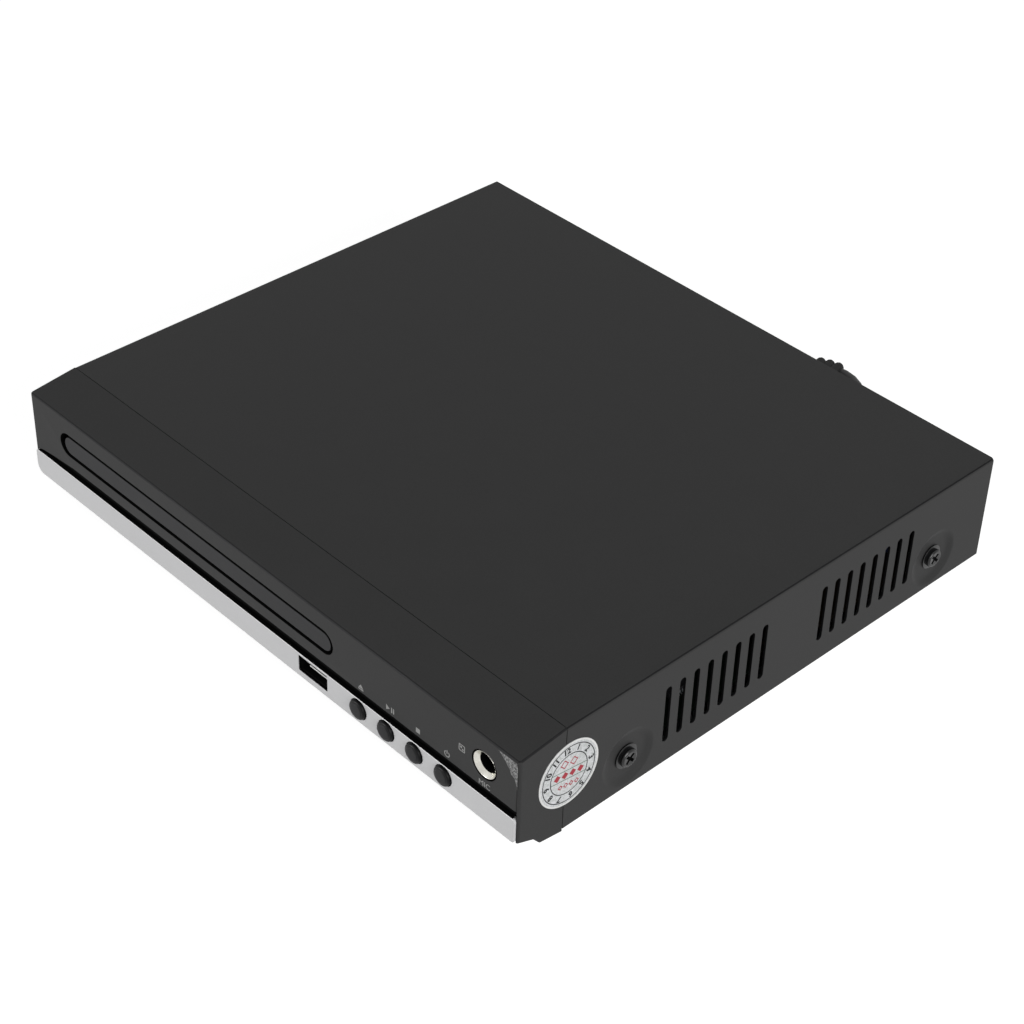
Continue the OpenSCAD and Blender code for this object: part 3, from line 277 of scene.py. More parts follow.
# Screen print on the panel: a thin, chalky grey
PRINT_GREY = Finish("screen_print_ink", "panel_plastic", "#8c8c8b", "#989897", 0.4, 0.7, specular=0.15)
# Moulded rubber: black, dry and slightly dusty
RUBBER = Finish("moulded_rubber", "rubber_black", "#131313", "#1c1c1c", 0.6, 0.75, 0.06, 0.02, specular=0.3)
# Undyed ABS: a pale cream that makes the inside read as another material than the casing
LOADER_ABS = Finish("natural_abs", "loader_plastic", "#cfccbf", "#d8d5c9", 0.5, 0.45, 0.05, 0.01)
# Acetal: milky white with a waxy sheen
GEAR_ACETAL = Finish("acetal", "gear_plastic", "#e6e4dc", "#eeece4", 0.6, 0.4, 0.04, 0.004)
# Bare metal with the marks of the tool or die along one way
DRAWN = {"metallic": 1.0, "pattern": Pattern.ROLLED}
# Turned brass: yellow, with fine rings from the tool
BRASS = Finish("turned_brass", "brass_part", "#a98a45", "#bc9c55", 0.35, 0.3, 0.08, 0.008, **DRAWN)
# Deep-drawn steel: a clear grey shine with faint streaks along the draw
MOTOR_CAN = Finish("drawn_steel_can", "motor_steel", "#b5b7b9", "#c9cbcd", 0.4, 0.32, 0.06, 0.006, **DRAWN)
# Sintered ferrite: charcoal, dry and a little grainy
FERRITE = Finish("sintered_ferrite", "magnet_ferrite", "#3c3e41", "#4a4c4f", 0.3, 0.6, 0.05, 0.02)
# Die-cast zinc: dull grey with the mottle of the cast skin
DIE_CAST = Finish("die_cast_zinc", "pickup_metal", "#7c8084", "#8c9094", 0.8, 0.5, 0.08, 0.02, metallic=0.8)
# Ground and polished rod: nearly a mirror
GROUND_ROD = Finish("ground_steel_rod", "rod_steel", "#d0d1d2", "#dedfe0", 0.3, 0.18, 0.05, 0.002, **DRAWN)
# A lens whose coating throws back blue
COATED_LENS = Finish("coated_lens_glass", "lens_glass", "#6f82c4", "#8194d2", 0.8, 0.05, 0.02, 0.0, clear=0.5)
# Solder resist over woven glass: a green that is nearly black, with the weave faintly showing
BOARD_GREEN = Finish("green_solder_resist", "board_green", "#040a06", "#070f09", 1.2, 0.45, 0.08, 0.012,
                     specular=0.15)
# Pressed phenolic paper: a brown that is nearly black
BOARD_BROWN = Finish("phenolic_paper_board", "board_brown", "#0c0804", "#120d07", 1.0, 0.55, 0.08, 0.01,
                     specular=0.1)
# Transfer-moulded epoxy: dull black
CHIP_EPOXY = Finish("chip_epoxy", "chip_black", "#18181a", "#202022", 0.3, 0.55, 0.05, 0.01)
# Nickel plate: bright, with a warm tinge
SOCKET_METAL = Finish("nickel_plate", "socket_metal", "#c4c2ba", "#d2d0c8", 0.5, 0.24, 0.06, 0.003,
                      metallic=1.0)
# Amber polyester tape, heat-shrunk sleeve and soft PVC: smooth colours with a plastic highlight
CORE_TAPE = Finish("polyester_tape", "transformer_core", "#cfa935", "#dcb947", 0.6, 0.3, 0.05, 0.006)
CAP_SLEEVE = Finish("shrink_sleeve", "capacitor_sleeve", "#1f2842", "#2b3552", 0.6, 0.3, 0.05, 0.006)
WIRE_PVC = Finish("wire_insulation", "wire_red", "#a8342a", "#b94338", 0.6, 0.42, 0.05, 0.006)
# Extruded aluminium: pale grey with long, straight streaks
FIN_ALUMINIUM = Finish("extruded_aluminium", "fin_aluminium", "#aeb2b5", "#bfc3c6", 0.4, 0.38, 0.07, 0.006,
                       **DRAWN)
# Clear drawn glass
FUSE_GLASS = Finish("fuse_glass", "fuse_glass", "#d0d2cc", "#dadcd6", 0.8, 0.08, 0.03, 0.0, clear=0.6)
# Soft PVC sheath: matte black with a faint drag of the extruder
LEAD_PVC = Finish("extruded_pvc", "lead_black", "#161616", "#1e1e1e", 0.5, 0.55, 0.06, 0.012)
BY_SLOT = {f.slot: f for f in (
    COVER_PAINT, ZINC_SHEET, STRIP_LACQUER, BLACK_ABS_AND_SIDE_SHADE, TRAY_ABS, DOOR_ABS, BLACK_SCREW, ZINC_SCREW, RUBBER,
    LOADER_ABS, GEAR_ACETAL, BRASS, MOTOR_CAN, FERRITE, DIE_CAST, GROUND_ROD, COATED_LENS, BOARD_GREEN,
    BOARD_BROWN, CHIP_EPOXY, SOCKET_METAL, CORE_TAPE, CAP_SLEEVE, FIN_ALUMINIUM, FUSE_GLASS, WIRE_PVC,
    LEAD_PVC, PANEL_ABS, LABEL_FOIL)}


# --- shaping ---

# Edges sharper than these are eased, and stay crisp under smooth shading, in degrees
EASED, CRISP = 35.0, 50.0
# Size of the font for capitals of height 1
FONT_SIZE = 1.38


class Side(Enum):
    """A side of the player, as the directions right, up and out that someone facing it sees."""

    FRONT = ((1, 0, 0), (0, 0, 1), (0, -1, 0))
    REAR = ((-1, 0, 0), (0, 0, 1), (0, 1, 0))
    RIGHT = ((0, 1, 0), (0, 0, 1), (1, 0, 0))
    LEFT = ((0, -1, 0), (0, 0, 1), (-1, 0, 0))
    TOP = ((1, 0, 0), (0, 1, 0), (0, 0, 1))

    def at(self, place: Place) -> Matrix:
        """The matrix that puts a flat drawing on this side at a place."""
        return Matrix.Translation(place) @ Matrix(self.value).transposed().to_4x4()


def put(name: str, data: bpy.types.ID) -> Piece:
    """Make an object of its data and link it to the scene."""
    made = bpy.data.objects.new(name, data)
    bpy.context.scene.collection.objects.link(made)
    return made


def workpiece(name: str, bm: bmesh.types.BMesh) -> Piece:
    """Make an object of a finished bmesh in millimetres, with its faces outwards, and free the bmesh."""
    bmesh.ops.recalc_face_normals(bm, faces=bm.faces)
    mesh = bpy.data.meshes.new(name)
    bm.to_mesh(mesh)
    bm.free()
    return put(name, mesh)


def bake(piece: Piece) -> Piece:
    """Turn a piece's modifiers into plain mesh."""
    graph = bpy.context.evaluated_depsgraph_get()
    mesh = bpy.data.meshes.new_from_object(piece.evaluated_get(graph), preserve_all_data_layers=True,
                                           depsgraph=graph)
    piece.modifiers.clear()
    piece.data = mesh
    return piece


def combine(piece: Piece, tool: Piece, how: str) -> Piece:
    """Cut, join or trim a piece with another, which is used up.

    Args:
        piece: The piece that stays.
        tool: The other shape.
        how: DIFFERENCE, UNION or INTERSECT.

    Returns:
        The piece.
    """
    step = piece.modifiers.new("combine", "BOOLEAN")
    step.operation, step.solver, step.object = how, "EXACT", tool
    bake(piece)
    bpy.data.objects.remove(tool)
    return piece


def merged(name: str, parts: list[Piece]) -> Piece:
    """Put several workpieces into one object."""
    bm = bmesh.new()
    for part in parts:
        bm.from_mesh(part.data)
        bpy.data.objects.remove(part)
    return workpiece(name, bm)


def loft(name: str, rows: list[list[Vector]]) -> Piece:
    """Stretch a closed skin over rows of points.

    Args:
        name: The object's name.
        rows: Closed outlines from one end to the other, each with the same number of points.

    Returns:
        The workpiece.
    """
    bm = bmesh.new()
    rings = [[bm.verts.new(point) for point in row] for row in rows]
    for low, high in zip(rings, rings[1:]):
        for k in range(len(low)):
            bm.faces.new((low[k - 1], low[k], high[k], high[k - 1]))
    bm.faces.new(rings[0])
    bm.faces.new(rings[-1])
    return workpiece(name, bm)


def lathe(name: str, profile: Loop, side: Side, place: Place, steps: int = 48) -> Piece:
    """Turn a profile round an axis that points out of a side.

    Args:
        name: The object's name.
        profile: Radius and height for each ring, from one end to the other.
        side: Where the axis points.
        place: Where height 0 of the axis lies.
        steps: Points round the circle.

    Returns:
        The workpiece.
    """
    bm = bmesh.new()
    spin = side.at(place)
    rings = []
    for radius, height in profile:
        circle = ring(radius, steps=steps if radius > 0 else 1)
        rings.append([bm.verts.new(spin @ Vector((x, y, height))) for x, y in circle])
    for low, high in zip(rings, rings[1:]):
        for k in range(max(len(low), len(high))):
            corners = (low[k % len(low)], low[(k + 1) % len(low)],
                       high[(k + 1) % len(high)], high[k % len(high)])
            face = list(dict.fromkeys(corners))
            if len(face) > 2:
                bm.faces.new(face)
    return workpiece(name, bm)


def prism(name: str, outline: Loop, side: Side, near: float, far: float) -> Piece:
    """Extrude an outline that is drawn on a side's plane, between two heights along its way out.

    Args:
        name: The object's name.
        outline: Corners to the right and up, seen from outside.
        side: The side that the outline is drawn on.
        near: One height along the way out.
        far: The other height.

    Returns:
        The workpiece.
    """
    turn = side.at((0, 0, 0))
    return loft(name, [[turn @ Vector((x, y, height)) for x, y in outline] for height in (near, far)])


def rod(radius: float, low: float, high: float) -> Loop:
    """Profile of a plain cylinder between two heights."""
    return [(0, low), (radius, low), (radius, high), (0, high)]


def oblong(width: float, height: float, centre: Point = (0, 0)) -> Loop:
    """Outline of a rectangle."""
    x, y = centre
    return [(x + a * width / 2, y + b * height / 2) for a, b in ((-1, -1), (1, -1), (1, 1), (-1, 1))]


def rounded(width: float, height: float, radius: float, centre: Point = (0, 0), steps: int = 8) -> Loop:
    """Outline of a rectangle with round corners; a radius of half the height gives a stadium."""
    points = []
    for quarter, (sx, sy) in enumerate(((1, 1), (-1, 1), (-1, -1), (1, -1))):
        for k in range(steps + 1):
            angle = (quarter + k / steps) * math.pi / 2
            points.append((centre[0] + sx * (width / 2 - radius) + radius * math.cos(angle),
                           centre[1] + sy * (height / 2 - radius) + radius * math.sin(angle)))
    return list(dict.fromkeys((round(x, 6), round(y, 6)) for x, y in points))


def ring(radius: float, centre: Point = (0, 0), steps: int = 48, start: float = 0,
         sweep: float = 360) -> Loop:
    """Points of a circle, or of a part of one when the sweep is less than a full turn."""
    count = steps if sweep >= 360 else steps + 1
    turns = [math.radians(start + sweep * k / steps) for k in range(count)]
    return [(centre[0] + radius * math.cos(a), centre[1] + radius * math.sin(a)) for a in turns]


def from_curve(name: str, curve: bpy.types.Curve, side: Side, place: Place, thickness: float,
               spin: float = 0.0) -> Piece:
    """Turn a flat curve or a text, spun in its plane, into a workpiece whose outer face is at the place."""
    holder = put(name, curve)
    graph = bpy.context.evaluated_depsgraph_get()
    mesh = bpy.data.meshes.new_from_object(holder.evaluated_get(graph), depsgraph=graph)
    bpy.data.objects.remove(holder)
    mesh.transform(side.at(place) @ Matrix.Rotation(math.radians(spin), 4, "Z")
                   @ Matrix.Translation((0, 0, -thickness / 2)))
    bm = bmesh.new()
    bm.from_mesh(mesh)
    bmesh.ops.remove_doubles(bm, verts=bm.verts, dist=1e-4)
    return workpiece(name, bm)


def plate(name: str, loops: list[Loop], side: Side, place: Place, thickness: float,
          ease: float = 0.0) -> Piece:
    """Make a flat plate with holes and eased edges.

    Args:
        name: The object's name.
        loops: Outlines, and the outlines of the holes in them.
        side: The side that the plate faces.
        place: Where the drawing's origin lies, on the plate's outer face.
        thickness: How thick it is, inwards.
        ease: Radius of its edges.

    Returns:
        The workpiece.
    """
    curve = bpy.data.curves.new(name, "CURVE")
    curve.dimensions, curve.fill_mode = "2D", "BOTH"
    curve.extrude, curve.bevel_depth, curve.offset = thickness / 2 - ease, ease, -ease
    curve.bevel_resolution = 2
    for loop in loops:
        spline = curve.splines.new("POLY")
        spline.points.add(len(loop) - 1)
        for point, (x, y) in zip(spline.points, loop):
            point.co = (x, y, 0, 1)
        spline.use_cyclic_u = True
    return from_curve(name, curve, side, place, thickness)


def text(words: str, height: float, side: Side, place: Place, bolder: float = 0.0,
         spin: float = 0.0) -> Piece:
    """Print words in capitals of a height, centred on a place, their strokes bolder by an offset."""
    curve = bpy.data.curves.new("words", "FONT")
    curve.body, curve.size, curve.offset = words, height * FONT_SIZE, bolder
    curve.align_x, curve.align_y = "CENTER", "CENTER"
    curve.extrude, curve.resolution_u = INK / 2, 4
    return from_curve("words", curve, side, place, INK, spin)


def tube(name: str, path: list[Vector], radius: float, sides: int = 14) -> Piece:
    """Draw a round tube along a path, without twist, with closed ends."""
    way = [(b - a).normalized() for a, b in zip(path, path[1:])]
    tangents = [way[0]] + [(a + b).normalized() for a, b in zip(way, way[1:])] + [way[-1]]
    across = tangents[0].orthogonal().normalized()
    rows = []
    for point, tangent in zip(path, tangents):
        across = (across - tangent * across.dot(tangent)).normalized()
        over = tangent.cross(across)
        rows.append([point + x * across + y * over for x, y in ring(radius, steps=sides)])
    return loft(name, rows)


def smooth_route(points: tuple[Place, ...], steps: int = 4) -> list[Vector]:
    """A curve through all points, with steps between each two."""
    knots = [Vector(p) for p in points]
    knots = [2 * knots[0] - knots[1]] + knots + [2 * knots[-1] - knots[-2]]
    route = []
    for a, b, c, d in zip(knots, knots[1:], knots[2:], knots[3:]):
        for k in range(steps):
            t = k / steps
            route.append(0.5 * (2 * b + (c - a) * t + (2 * a - 5 * b + 4 * c - d) * t ** 2
                                + (3 * b - a - 3 * c + d) * t ** 3))
    return route + [knots[-2]]


def settle(piece: Piece, finish: Finish, *nodes: str, body: str = "player", ease: float = 0.0,
           more: tuple[Finish, ...] = ()) -> Piece:
    """Finish a workpiece: ease its edges, shade it, scale it to metres, dress it and let it ride.

    Args:
        piece: The workpiece in millimetres.
        finish: Its first finish.
        nodes: The CAD nodes that it stands for.
        body: The body that it rides on.
        ease: Radius of its edges, or 0 to leave them.
        more: Finishes of the faces with a higher material number.

    Returns:
        The finished piece.
    """
    mesh = piece.data
    mesh.polygons.foreach_set("use_smooth", [True] * len(mesh.polygons))
    if ease:
        soft = piece.modifiers.new("ease", "BEVEL")
        soft.width, soft.segments, soft.limit_method = ease, 2, "ANGLE"
        soft.angle_limit = math.radians(EASED)
        bake(piece)
    piece.data.set_sharp_from_angle(angle=math.radians(CRISP))
    piece.modifiers.new("flat_faces", "WEIGHTED_NORMAL").keep_sharp = True
    bake(piece)
    mesh = piece.data
    mesh.transform(Matrix.Scale(MM, 4))
    for number, each in enumerate((finish, *more)):
        if number < len(mesh.materials):
            mesh.materials[number] = each.material()
        else:
            mesh.materials.append(each.material())
    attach(piece, body)
    if nodes:
        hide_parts(*nodes)
    log.info("%s: %d faces on %s", piece.name, len(mesh.polygons), body)
    return piece


def from_node(frame: dict, node: str, name: str) -> Piece:
    """Copy a CAD node as a workpiece, its triangles merged to plain faces."""
    bm = bmesh.new()
    bm.from_mesh(frame["nodes"][node].data)
    bmesh.ops.scale(bm, vec=(1 / MM,) * 3, verts=bm.verts)
    bmesh.ops.remove_doubles(bm, verts=bm.verts, dist=0.002)
    bmesh.ops.dissolve_limit(bm, angle_limit=math.radians(0.6), verts=bm.verts, edges=bm.edges)
    return workpiece(name, bm)


def mark_faces(piece: Piece, number: int, test: Callable[[Vector, Vector], bool]) -> None:
    """Give a material number to the faces whose middle and normal pass a test."""
    while len(piece.data.materials) <= number:
        piece.data.materials.append(None)
    for face in piece.data.polygons:
        if test(face.center, face.normal):
            face.material_index = number


def from_mic(point: Vector) -> float:
    """How far a point is from the axis of the microphone socket."""
    return math.dist((point.x, point.z), MIC_AT)


# --- repeated shapes ---


def start_tree(name: str, given: dict[str, str]) -> tuple[Tree, bpy.types.NodeInputs]:
    """Start a Geometry Nodes tree that gives out one geometry.

    Args:
        name: The tree's name.
        given: Its inputs, each with its kind of socket.

    Returns:
        The tree, and the sockets of its inputs.
    """
    tree = bpy.data.node_groups.new(name, "GeometryNodeTree")
    for label, kind in given.items():
        tree.interface.new_socket(label, in_out="INPUT", socket_type="NodeSocket" + kind)
    tree.interface.new_socket("Result", in_out="OUTPUT", socket_type="NodeSocketGeometry")
    return tree, add_node(tree, "NodeGroupInput").outputs


def end_tree(tree: Tree, shapes: Socket, finish: Socket) -> Tree:
    """Make mesh of the shapes, give it its finish and pass it out."""
    real = add_node(tree, "GeometryNodeRealizeInstances", {"Geometry": shapes})
    dressed = add_node(tree, "GeometryNodeSetMaterial", {"Geometry": real, "Material": finish})
    add_node(tree, "NodeGroupOutput", {"Result": dressed})
    return tree


def run_tree(piece: Piece, tree: Tree, values: dict[str, object]) -> Piece:
    """Run a tree on a piece with the values of its inputs, and keep the result as mesh."""
    step = piece.modifiers.new(tree.name, "NODES")
    step.node_group = tree
    sockets = {s.name: s.identifier for s in tree.interface.items_tree if s.in_out == "INPUT"}
    for label, value in values.items():
        step[sockets[label]] = value
    return bake(piece)


@dataclass(frozen=True)
class Repeats:
    """One shape at many places, each turned in its own way, set by a tree."""

    name: str
    finish: Finish

    def tree(self) -> Tree:
        """Build the tree: points carry the turn, and the shape comes in as an object."""
        tree, given = start_tree(self.name, {"Points": "Geometry", "Shape": "Object", "Finish": "Material"})
        shape = add_node(tree, "GeometryNodeObjectInfo", {"Object": given["Shape"]})
        turn = add_node(tree, "GeometryNodeInputNamedAttribute", {"Name": "turn"}, data_type="FLOAT_VECTOR")
        turned = add_node(tree, "FunctionNodeEulerToRotation", {0: turn})
        laid = add_node(tree, "GeometryNodeInstanceOnPoints", {
            "Points": given["Points"], "Instance": shape.outputs["Geometry"], "Rotation": turned})
        return end_tree(tree, laid.outputs[0], given["Finish"])

    def build(self, shape: Piece, places: list[tuple[Place, Place]]) -> Piece:
        """Set the shape at each place.

        Args:
            shape: The shape at the origin, in millimetres; it is used up.
            places: Position and turn, the turn in degrees about X, Y and Z.

        Returns:
            One workpiece that holds all of them.
        """
        mesh = bpy.data.meshes.new(self.name)
        mesh.from_pydata([p for p, _ in places], [], [])
        turns = mesh.attributes.new("turn", "FLOAT_VECTOR", "POINT")
        turns.data.foreach_set("vector", [math.radians(a) for _, t in places for a in t])
        made = run_tree(put(self.name, mesh), self.tree(), {"Shape": shape, "Finish": self.finish.material()})
        bpy.data.objects.remove(shape)
        return made


# --- studio ---


@dataclass
class Studio:
    """Camera, lamps, floor and the white surround."""

    lens: float = 82.67
    sensor: float = 36.0
    place: Place = (0.4377, -0.4259, 0.4732)
    azimuth: float = 45.734
    elevation: float = 37.564
    roll: float = 1.852
    surround: float = 0.15
    lamps: tuple = (((-1.2, -2.0, 0.45), 0.85, 37.5), ((0.95, -0.2, 0.42), 0.6, 8.6))
    lamps_aim: Place = (0, 0, 0.02)
    floor_reach: float = 3.0
    floor_grey: str = "#a0a0a0"
    floor_glow: float = 0.9

    def camera(self) -> None:
        """Set the camera where the front corner and both long sides show."""
        az, el, roll = (math.radians(a) for a in (self.azimuth, self.elevation, self.roll))
        back = Vector((math.sin(az) * math.cos(el), -math.cos(az) * math.cos(el), math.sin(el)))
        right = (-back).cross(Vector((0, 0, 1))).normalized()
        up = right.cross(-back)
        across = math.cos(roll) * right + math.sin(roll) * up
        above = -math.sin(roll) * right + math.cos(roll) * up
        data = bpy.data.cameras.new("camera")
        data.lens, data.sensor_width, data.clip_start = self.lens, self.sensor, 0.01
        made = put("camera", data)
        turn = Matrix((across, above, back)).transposed().to_4x4()
        made.matrix_world = Matrix.Translation(self.place) @ turn
        bpy.context.scene.camera = made

    def seen(self, tree: Tree) -> Socket:
        """A socket that is 1 for rays of the camera and for those seen in metal or glass."""
        path = add_node(tree, "ShaderNodeLightPath").outputs
        seen = path["Is Camera Ray"]
        for ray in ("Is Glossy Ray", "Is Transmission Ray"):
            seen = add_node(tree, "ShaderNodeMath", {0: seen, 1: path[ray]}, operation="MAXIMUM").outputs[0]
        return seen

    def light(self) -> None:
        """Set the white surround and the soft lamps."""
        world = bpy.data.worlds.new("white_surround")
        bpy.context.scene.world = world
        world.use_nodes = True
        tree = world.node_tree
        tree.nodes.clear()
        soft, white = (add_node(tree, "ShaderNodeBackground", {"Color": WHITE, "Strength": level})
                       for level in (self.surround, 1.0))
        both = add_node(tree, "ShaderNodeMixShader", {0: self.seen(tree), 1: soft, 2: white})
        add_node(tree, "ShaderNodeOutputWorld", {"Surface": both})
        for number, (place, size, power) in enumerate(self.lamps):
            data = bpy.data.lights.new(f"soft_lamp_{number}", "AREA")
            data.size, data.energy = size, power
            back = (Vector(place) - Vector(self.lamps_aim)).to_track_quat("Z", "Y")
            put(data.name, data).matrix_world = Matrix.Translation(place) @ back.to_matrix().to_4x4()

    def floor(self) -> None:
        """Lay a plain white floor that keeps a soft shadow."""
        bm = bmesh.new()
        bmesh.ops.create_grid(bm, x_segments=1, y_segments=1, size=self.floor_reach)
        made = workpiece("floor", bm)
        paper = bpy.data.materials.new("floor_paper")
        paper.use_nodes = True
        tree = paper.node_tree
        tree.nodes.clear()
        matt = add_node(tree, "ShaderNodeBsdfDiffuse", {"Color": linear(self.floor_grey)})
        level = add_node(tree, "ShaderNodeMath", {0: self.seen(tree), 1: self.floor_glow},
                         operation="MULTIPLY")
        glow = add_node(tree, "ShaderNodeEmission", {"Color": WHITE, "Strength": level})
        total = add_node(tree, "ShaderNodeAddShader", {0: matt, 1: glow})
        add_node(tree, "ShaderNodeOutputMaterial", {"Surface": total})
        made.data.materials.append(paper)

    def build(self) -> None:
        """Set up all of it."""
        bpy.context.scene.view_settings.view_transform = "Standard"
        self.camera()
        self.light()
        self.floor()


# --- mains lead ---


@dataclass
class MainsLead:
    """The mains lead, wound in a neat coil behind the player, with its tie, plug and strain relief."""

    thick: float = 3.2
    length_m: float = 0.94
    outlet: Place = (72, 118.8, 9)
    way_out: tuple = (
        (72, 118.8, 9), (72, 122.6, 8.9), (71.6, 126.4, 8.1), (70.4, 130, 6.6), (68.2, 133.3, 4.9),
        (65.2, 136, 3.4), (61.6, 138, 2.3), (57.6, 139.2, 1.7), (53, 139.8, 1.6), (47, 140, 1.6),
        (40, 139.8, 1.6), (32, 139.5, 1.6), (24, 139.4, 1.6))
    way_in: tuple = (
        (10.4, 133.8, 8), (6.2, 129.8, 7.4), (1.4, 125.6, 5.8), (-4, 121.9, 3.8), (-10, 119, 2.3),
        (-17, 117.4, 1.7), (-24, 116.8, 1.6), (-31, 116.8, 1.9), (-37, 116.8, 3), (-43, 116.8, 4.7),
        (-48, 116.8, 6), (-52, 116.8, 6.7), (-56, 116.8, 6.9))
    coil_at: Point = (24, 120.2)
    # Radius and height of each turn, from the first one wound to the last
    layers: tuple = ((19.2, 1.6), (19.2, 4.8), (16, 4.8), (16, 1.6), (12.8, 1.6), (12.8, 4.8), (12.8, 8.0),
                     (16, 8.0), (19.2, 8.0))
    per_turn: int = 30
    step_over: float = 95.0
    tie_turns: tuple = (100.5, 110.0, 119.5)
    tie_reach: float = 16.0
    tie_floor: float = 0.02
    # Width, height and corner of the section that a ring holds, and its offset and swell from side to side
    tie_section: tuple = (11.2, 10.35, 1.9)
    tie_swell: tuple = ((-1.55, -0.05), (-0.9, 0.35 / 9), (0, 0.7 / 9), (0.9, 0.35 / 9), (1.55, -0.05))
    relief_root: tuple = ((0, -3), (4.1, -3), (4.1, 0), (5, 0), (5, 1.2), (4.7, 1.6), (3.6, 1.6))
    relief_grooves: int = 5
    # First groove and pitch; radius and taper of the cone; each groove's section from where it starts
    groove_row: Point = (2.6, 3.4)
    relief_cone: Point = (3.6, 0.27)
    groove: tuple = ((0, 0), (-0.5, 0.3), (-0.5, 1.3), (-0.12, 1.6))
    relief_tip: tuple = ((2.2, 19.4), (1.9, 20), (0, 20))
    plug_at: Point = (116.8, 6.9)
    # Sections of the plug along its way: where, how wide and how high
    plug_rows: tuple = ((-56.0, 5.2, 5.2), (-59.4, 5.4, 5.4), (-60.2, 17, 8.5), (-61.2, 22.5, 12),
                        (-63, 24.6, 13.6), (-70, 25, 13.8), (-74, 26.5, 13.8), (-78, 31.5, 13.8),
                        (-81.5, 34.5, 13.8), (-92.8, 35, 13.8), (-94, 33.6, 12.6))
    # Corners as a share of the smaller size: of the round neck, and of the body
    plug_corners: Point = (0.49, 0.34)
    pin: tuple = ((0, -93), (2, -93), (2, -103), (1.9, -103.2), (1.9, -111.6), (1.5, -112.6), (0.8, -113),
                  (0, -113))
    pin_spread: float = 9.5

    def coil(self) -> list[Vector]:
        """Follow the turns, which lie beside and on each other and step over at the same side."""
        points = []
        for layer, after in zip(self.layers, self.layers[1:] + self.layers[-1:]):
            # The last turn ends after an eighth of its way round
            for k in range(self.per_turn // (8 if layer is self.layers[-1] else 1)):
                angle = 360 * k / self.per_turn
                share = max(0.0, (angle - 360 + self.step_over) / self.step_over)
                share = share * share * (3 - 2 * share)
                radius, height = (a + (b - a) * share for a, b in zip(layer, after))
                turn = math.radians(90 + angle)
                points.append(Vector((self.coil_at[0] + radius * math.cos(turn),
                                      self.coil_at[1] + radius * math.sin(turn), height)))
        return points

    def tie(self) -> Piece:
        """Three rubber rings round the bundle."""
        wide, high, corner = self.tie_section
        section = rounded(wide, high, corner, steps=6)
        parts = []
        for angle in self.tie_turns:
            turn = math.radians(angle)
            out = Vector((math.cos(turn), math.sin(turn), 0))
            along = Vector((-out.y, out.x, 0))
            middle = Vector((*self.coil_at, high / 2)) + out * self.tie_reach
            rows = [[middle + (out * x + Vector((0, 0, z))) * (1 + swell) + along * offset
                     for x, z in section] for offset, swell in self.tie_swell]
            for point in (p for row in rows for p in row):
                point.z = max(point.z, self.tie_floor)
            parts.append(loft("ring", rows))
        return merged("tie_rings", parts)

    def relief(self) -> Piece:
        """A tapered strain relief with moulded grooves."""
        (first, pitch), (wide, taper) = self.groove_row, self.relief_cone
        profile = list(self.relief_root)
        for k in range(self.relief_grooves):
            start, radius = first + pitch * k, wide - taper * (k + 0.3)
            profile += [(radius + lip, start + height) for lip, height in self.groove]
        profile += self.relief_tip
        return lathe("relief", profile, Side.REAR, (self.outlet[0], REAR_FACE, self.outlet[2]), 32)

    def plug(self) -> list[Piece]:
        """A flat two-pin plug: a moulded body that widens to its face, and two half-sleeved pins."""
        y, z = self.plug_at
        rows = []
        for x, wide, high in self.plug_rows:
            corner = min(wide, high) * self.plug_corners[0 if wide == high else 1]
            rows.append([Vector((x, y + a, z + b)) for a, b in rounded(wide, high, corner, steps=6)])
        pins = [lathe("pin", self.pin, Side.RIGHT, (0, y + spread, z), 20)
                for spread in (-self.pin_spread, self.pin_spread)]
        return [loft("plug_body", rows), merged("plug_pins", pins)]

    def build(self) -> None:
        route = smooth_route(self.way_out)[:-1] + self.coil() + smooth_route(self.way_in)
        lead = settle(tube("lead", route, self.thick / 2), LEAD_PVC, "mains_lead", "lead_coil")
        tie = settle(self.tie(), RUBBER, "lead_tie")
        body, pins = self.plug()
        body = settle(body, LEAD_PVC, "plug")
        pins = settle(pins, SOCKET_METAL)
        settle(self.relief(), LEAD_PVC, "strain_relief")


# --- casing ---


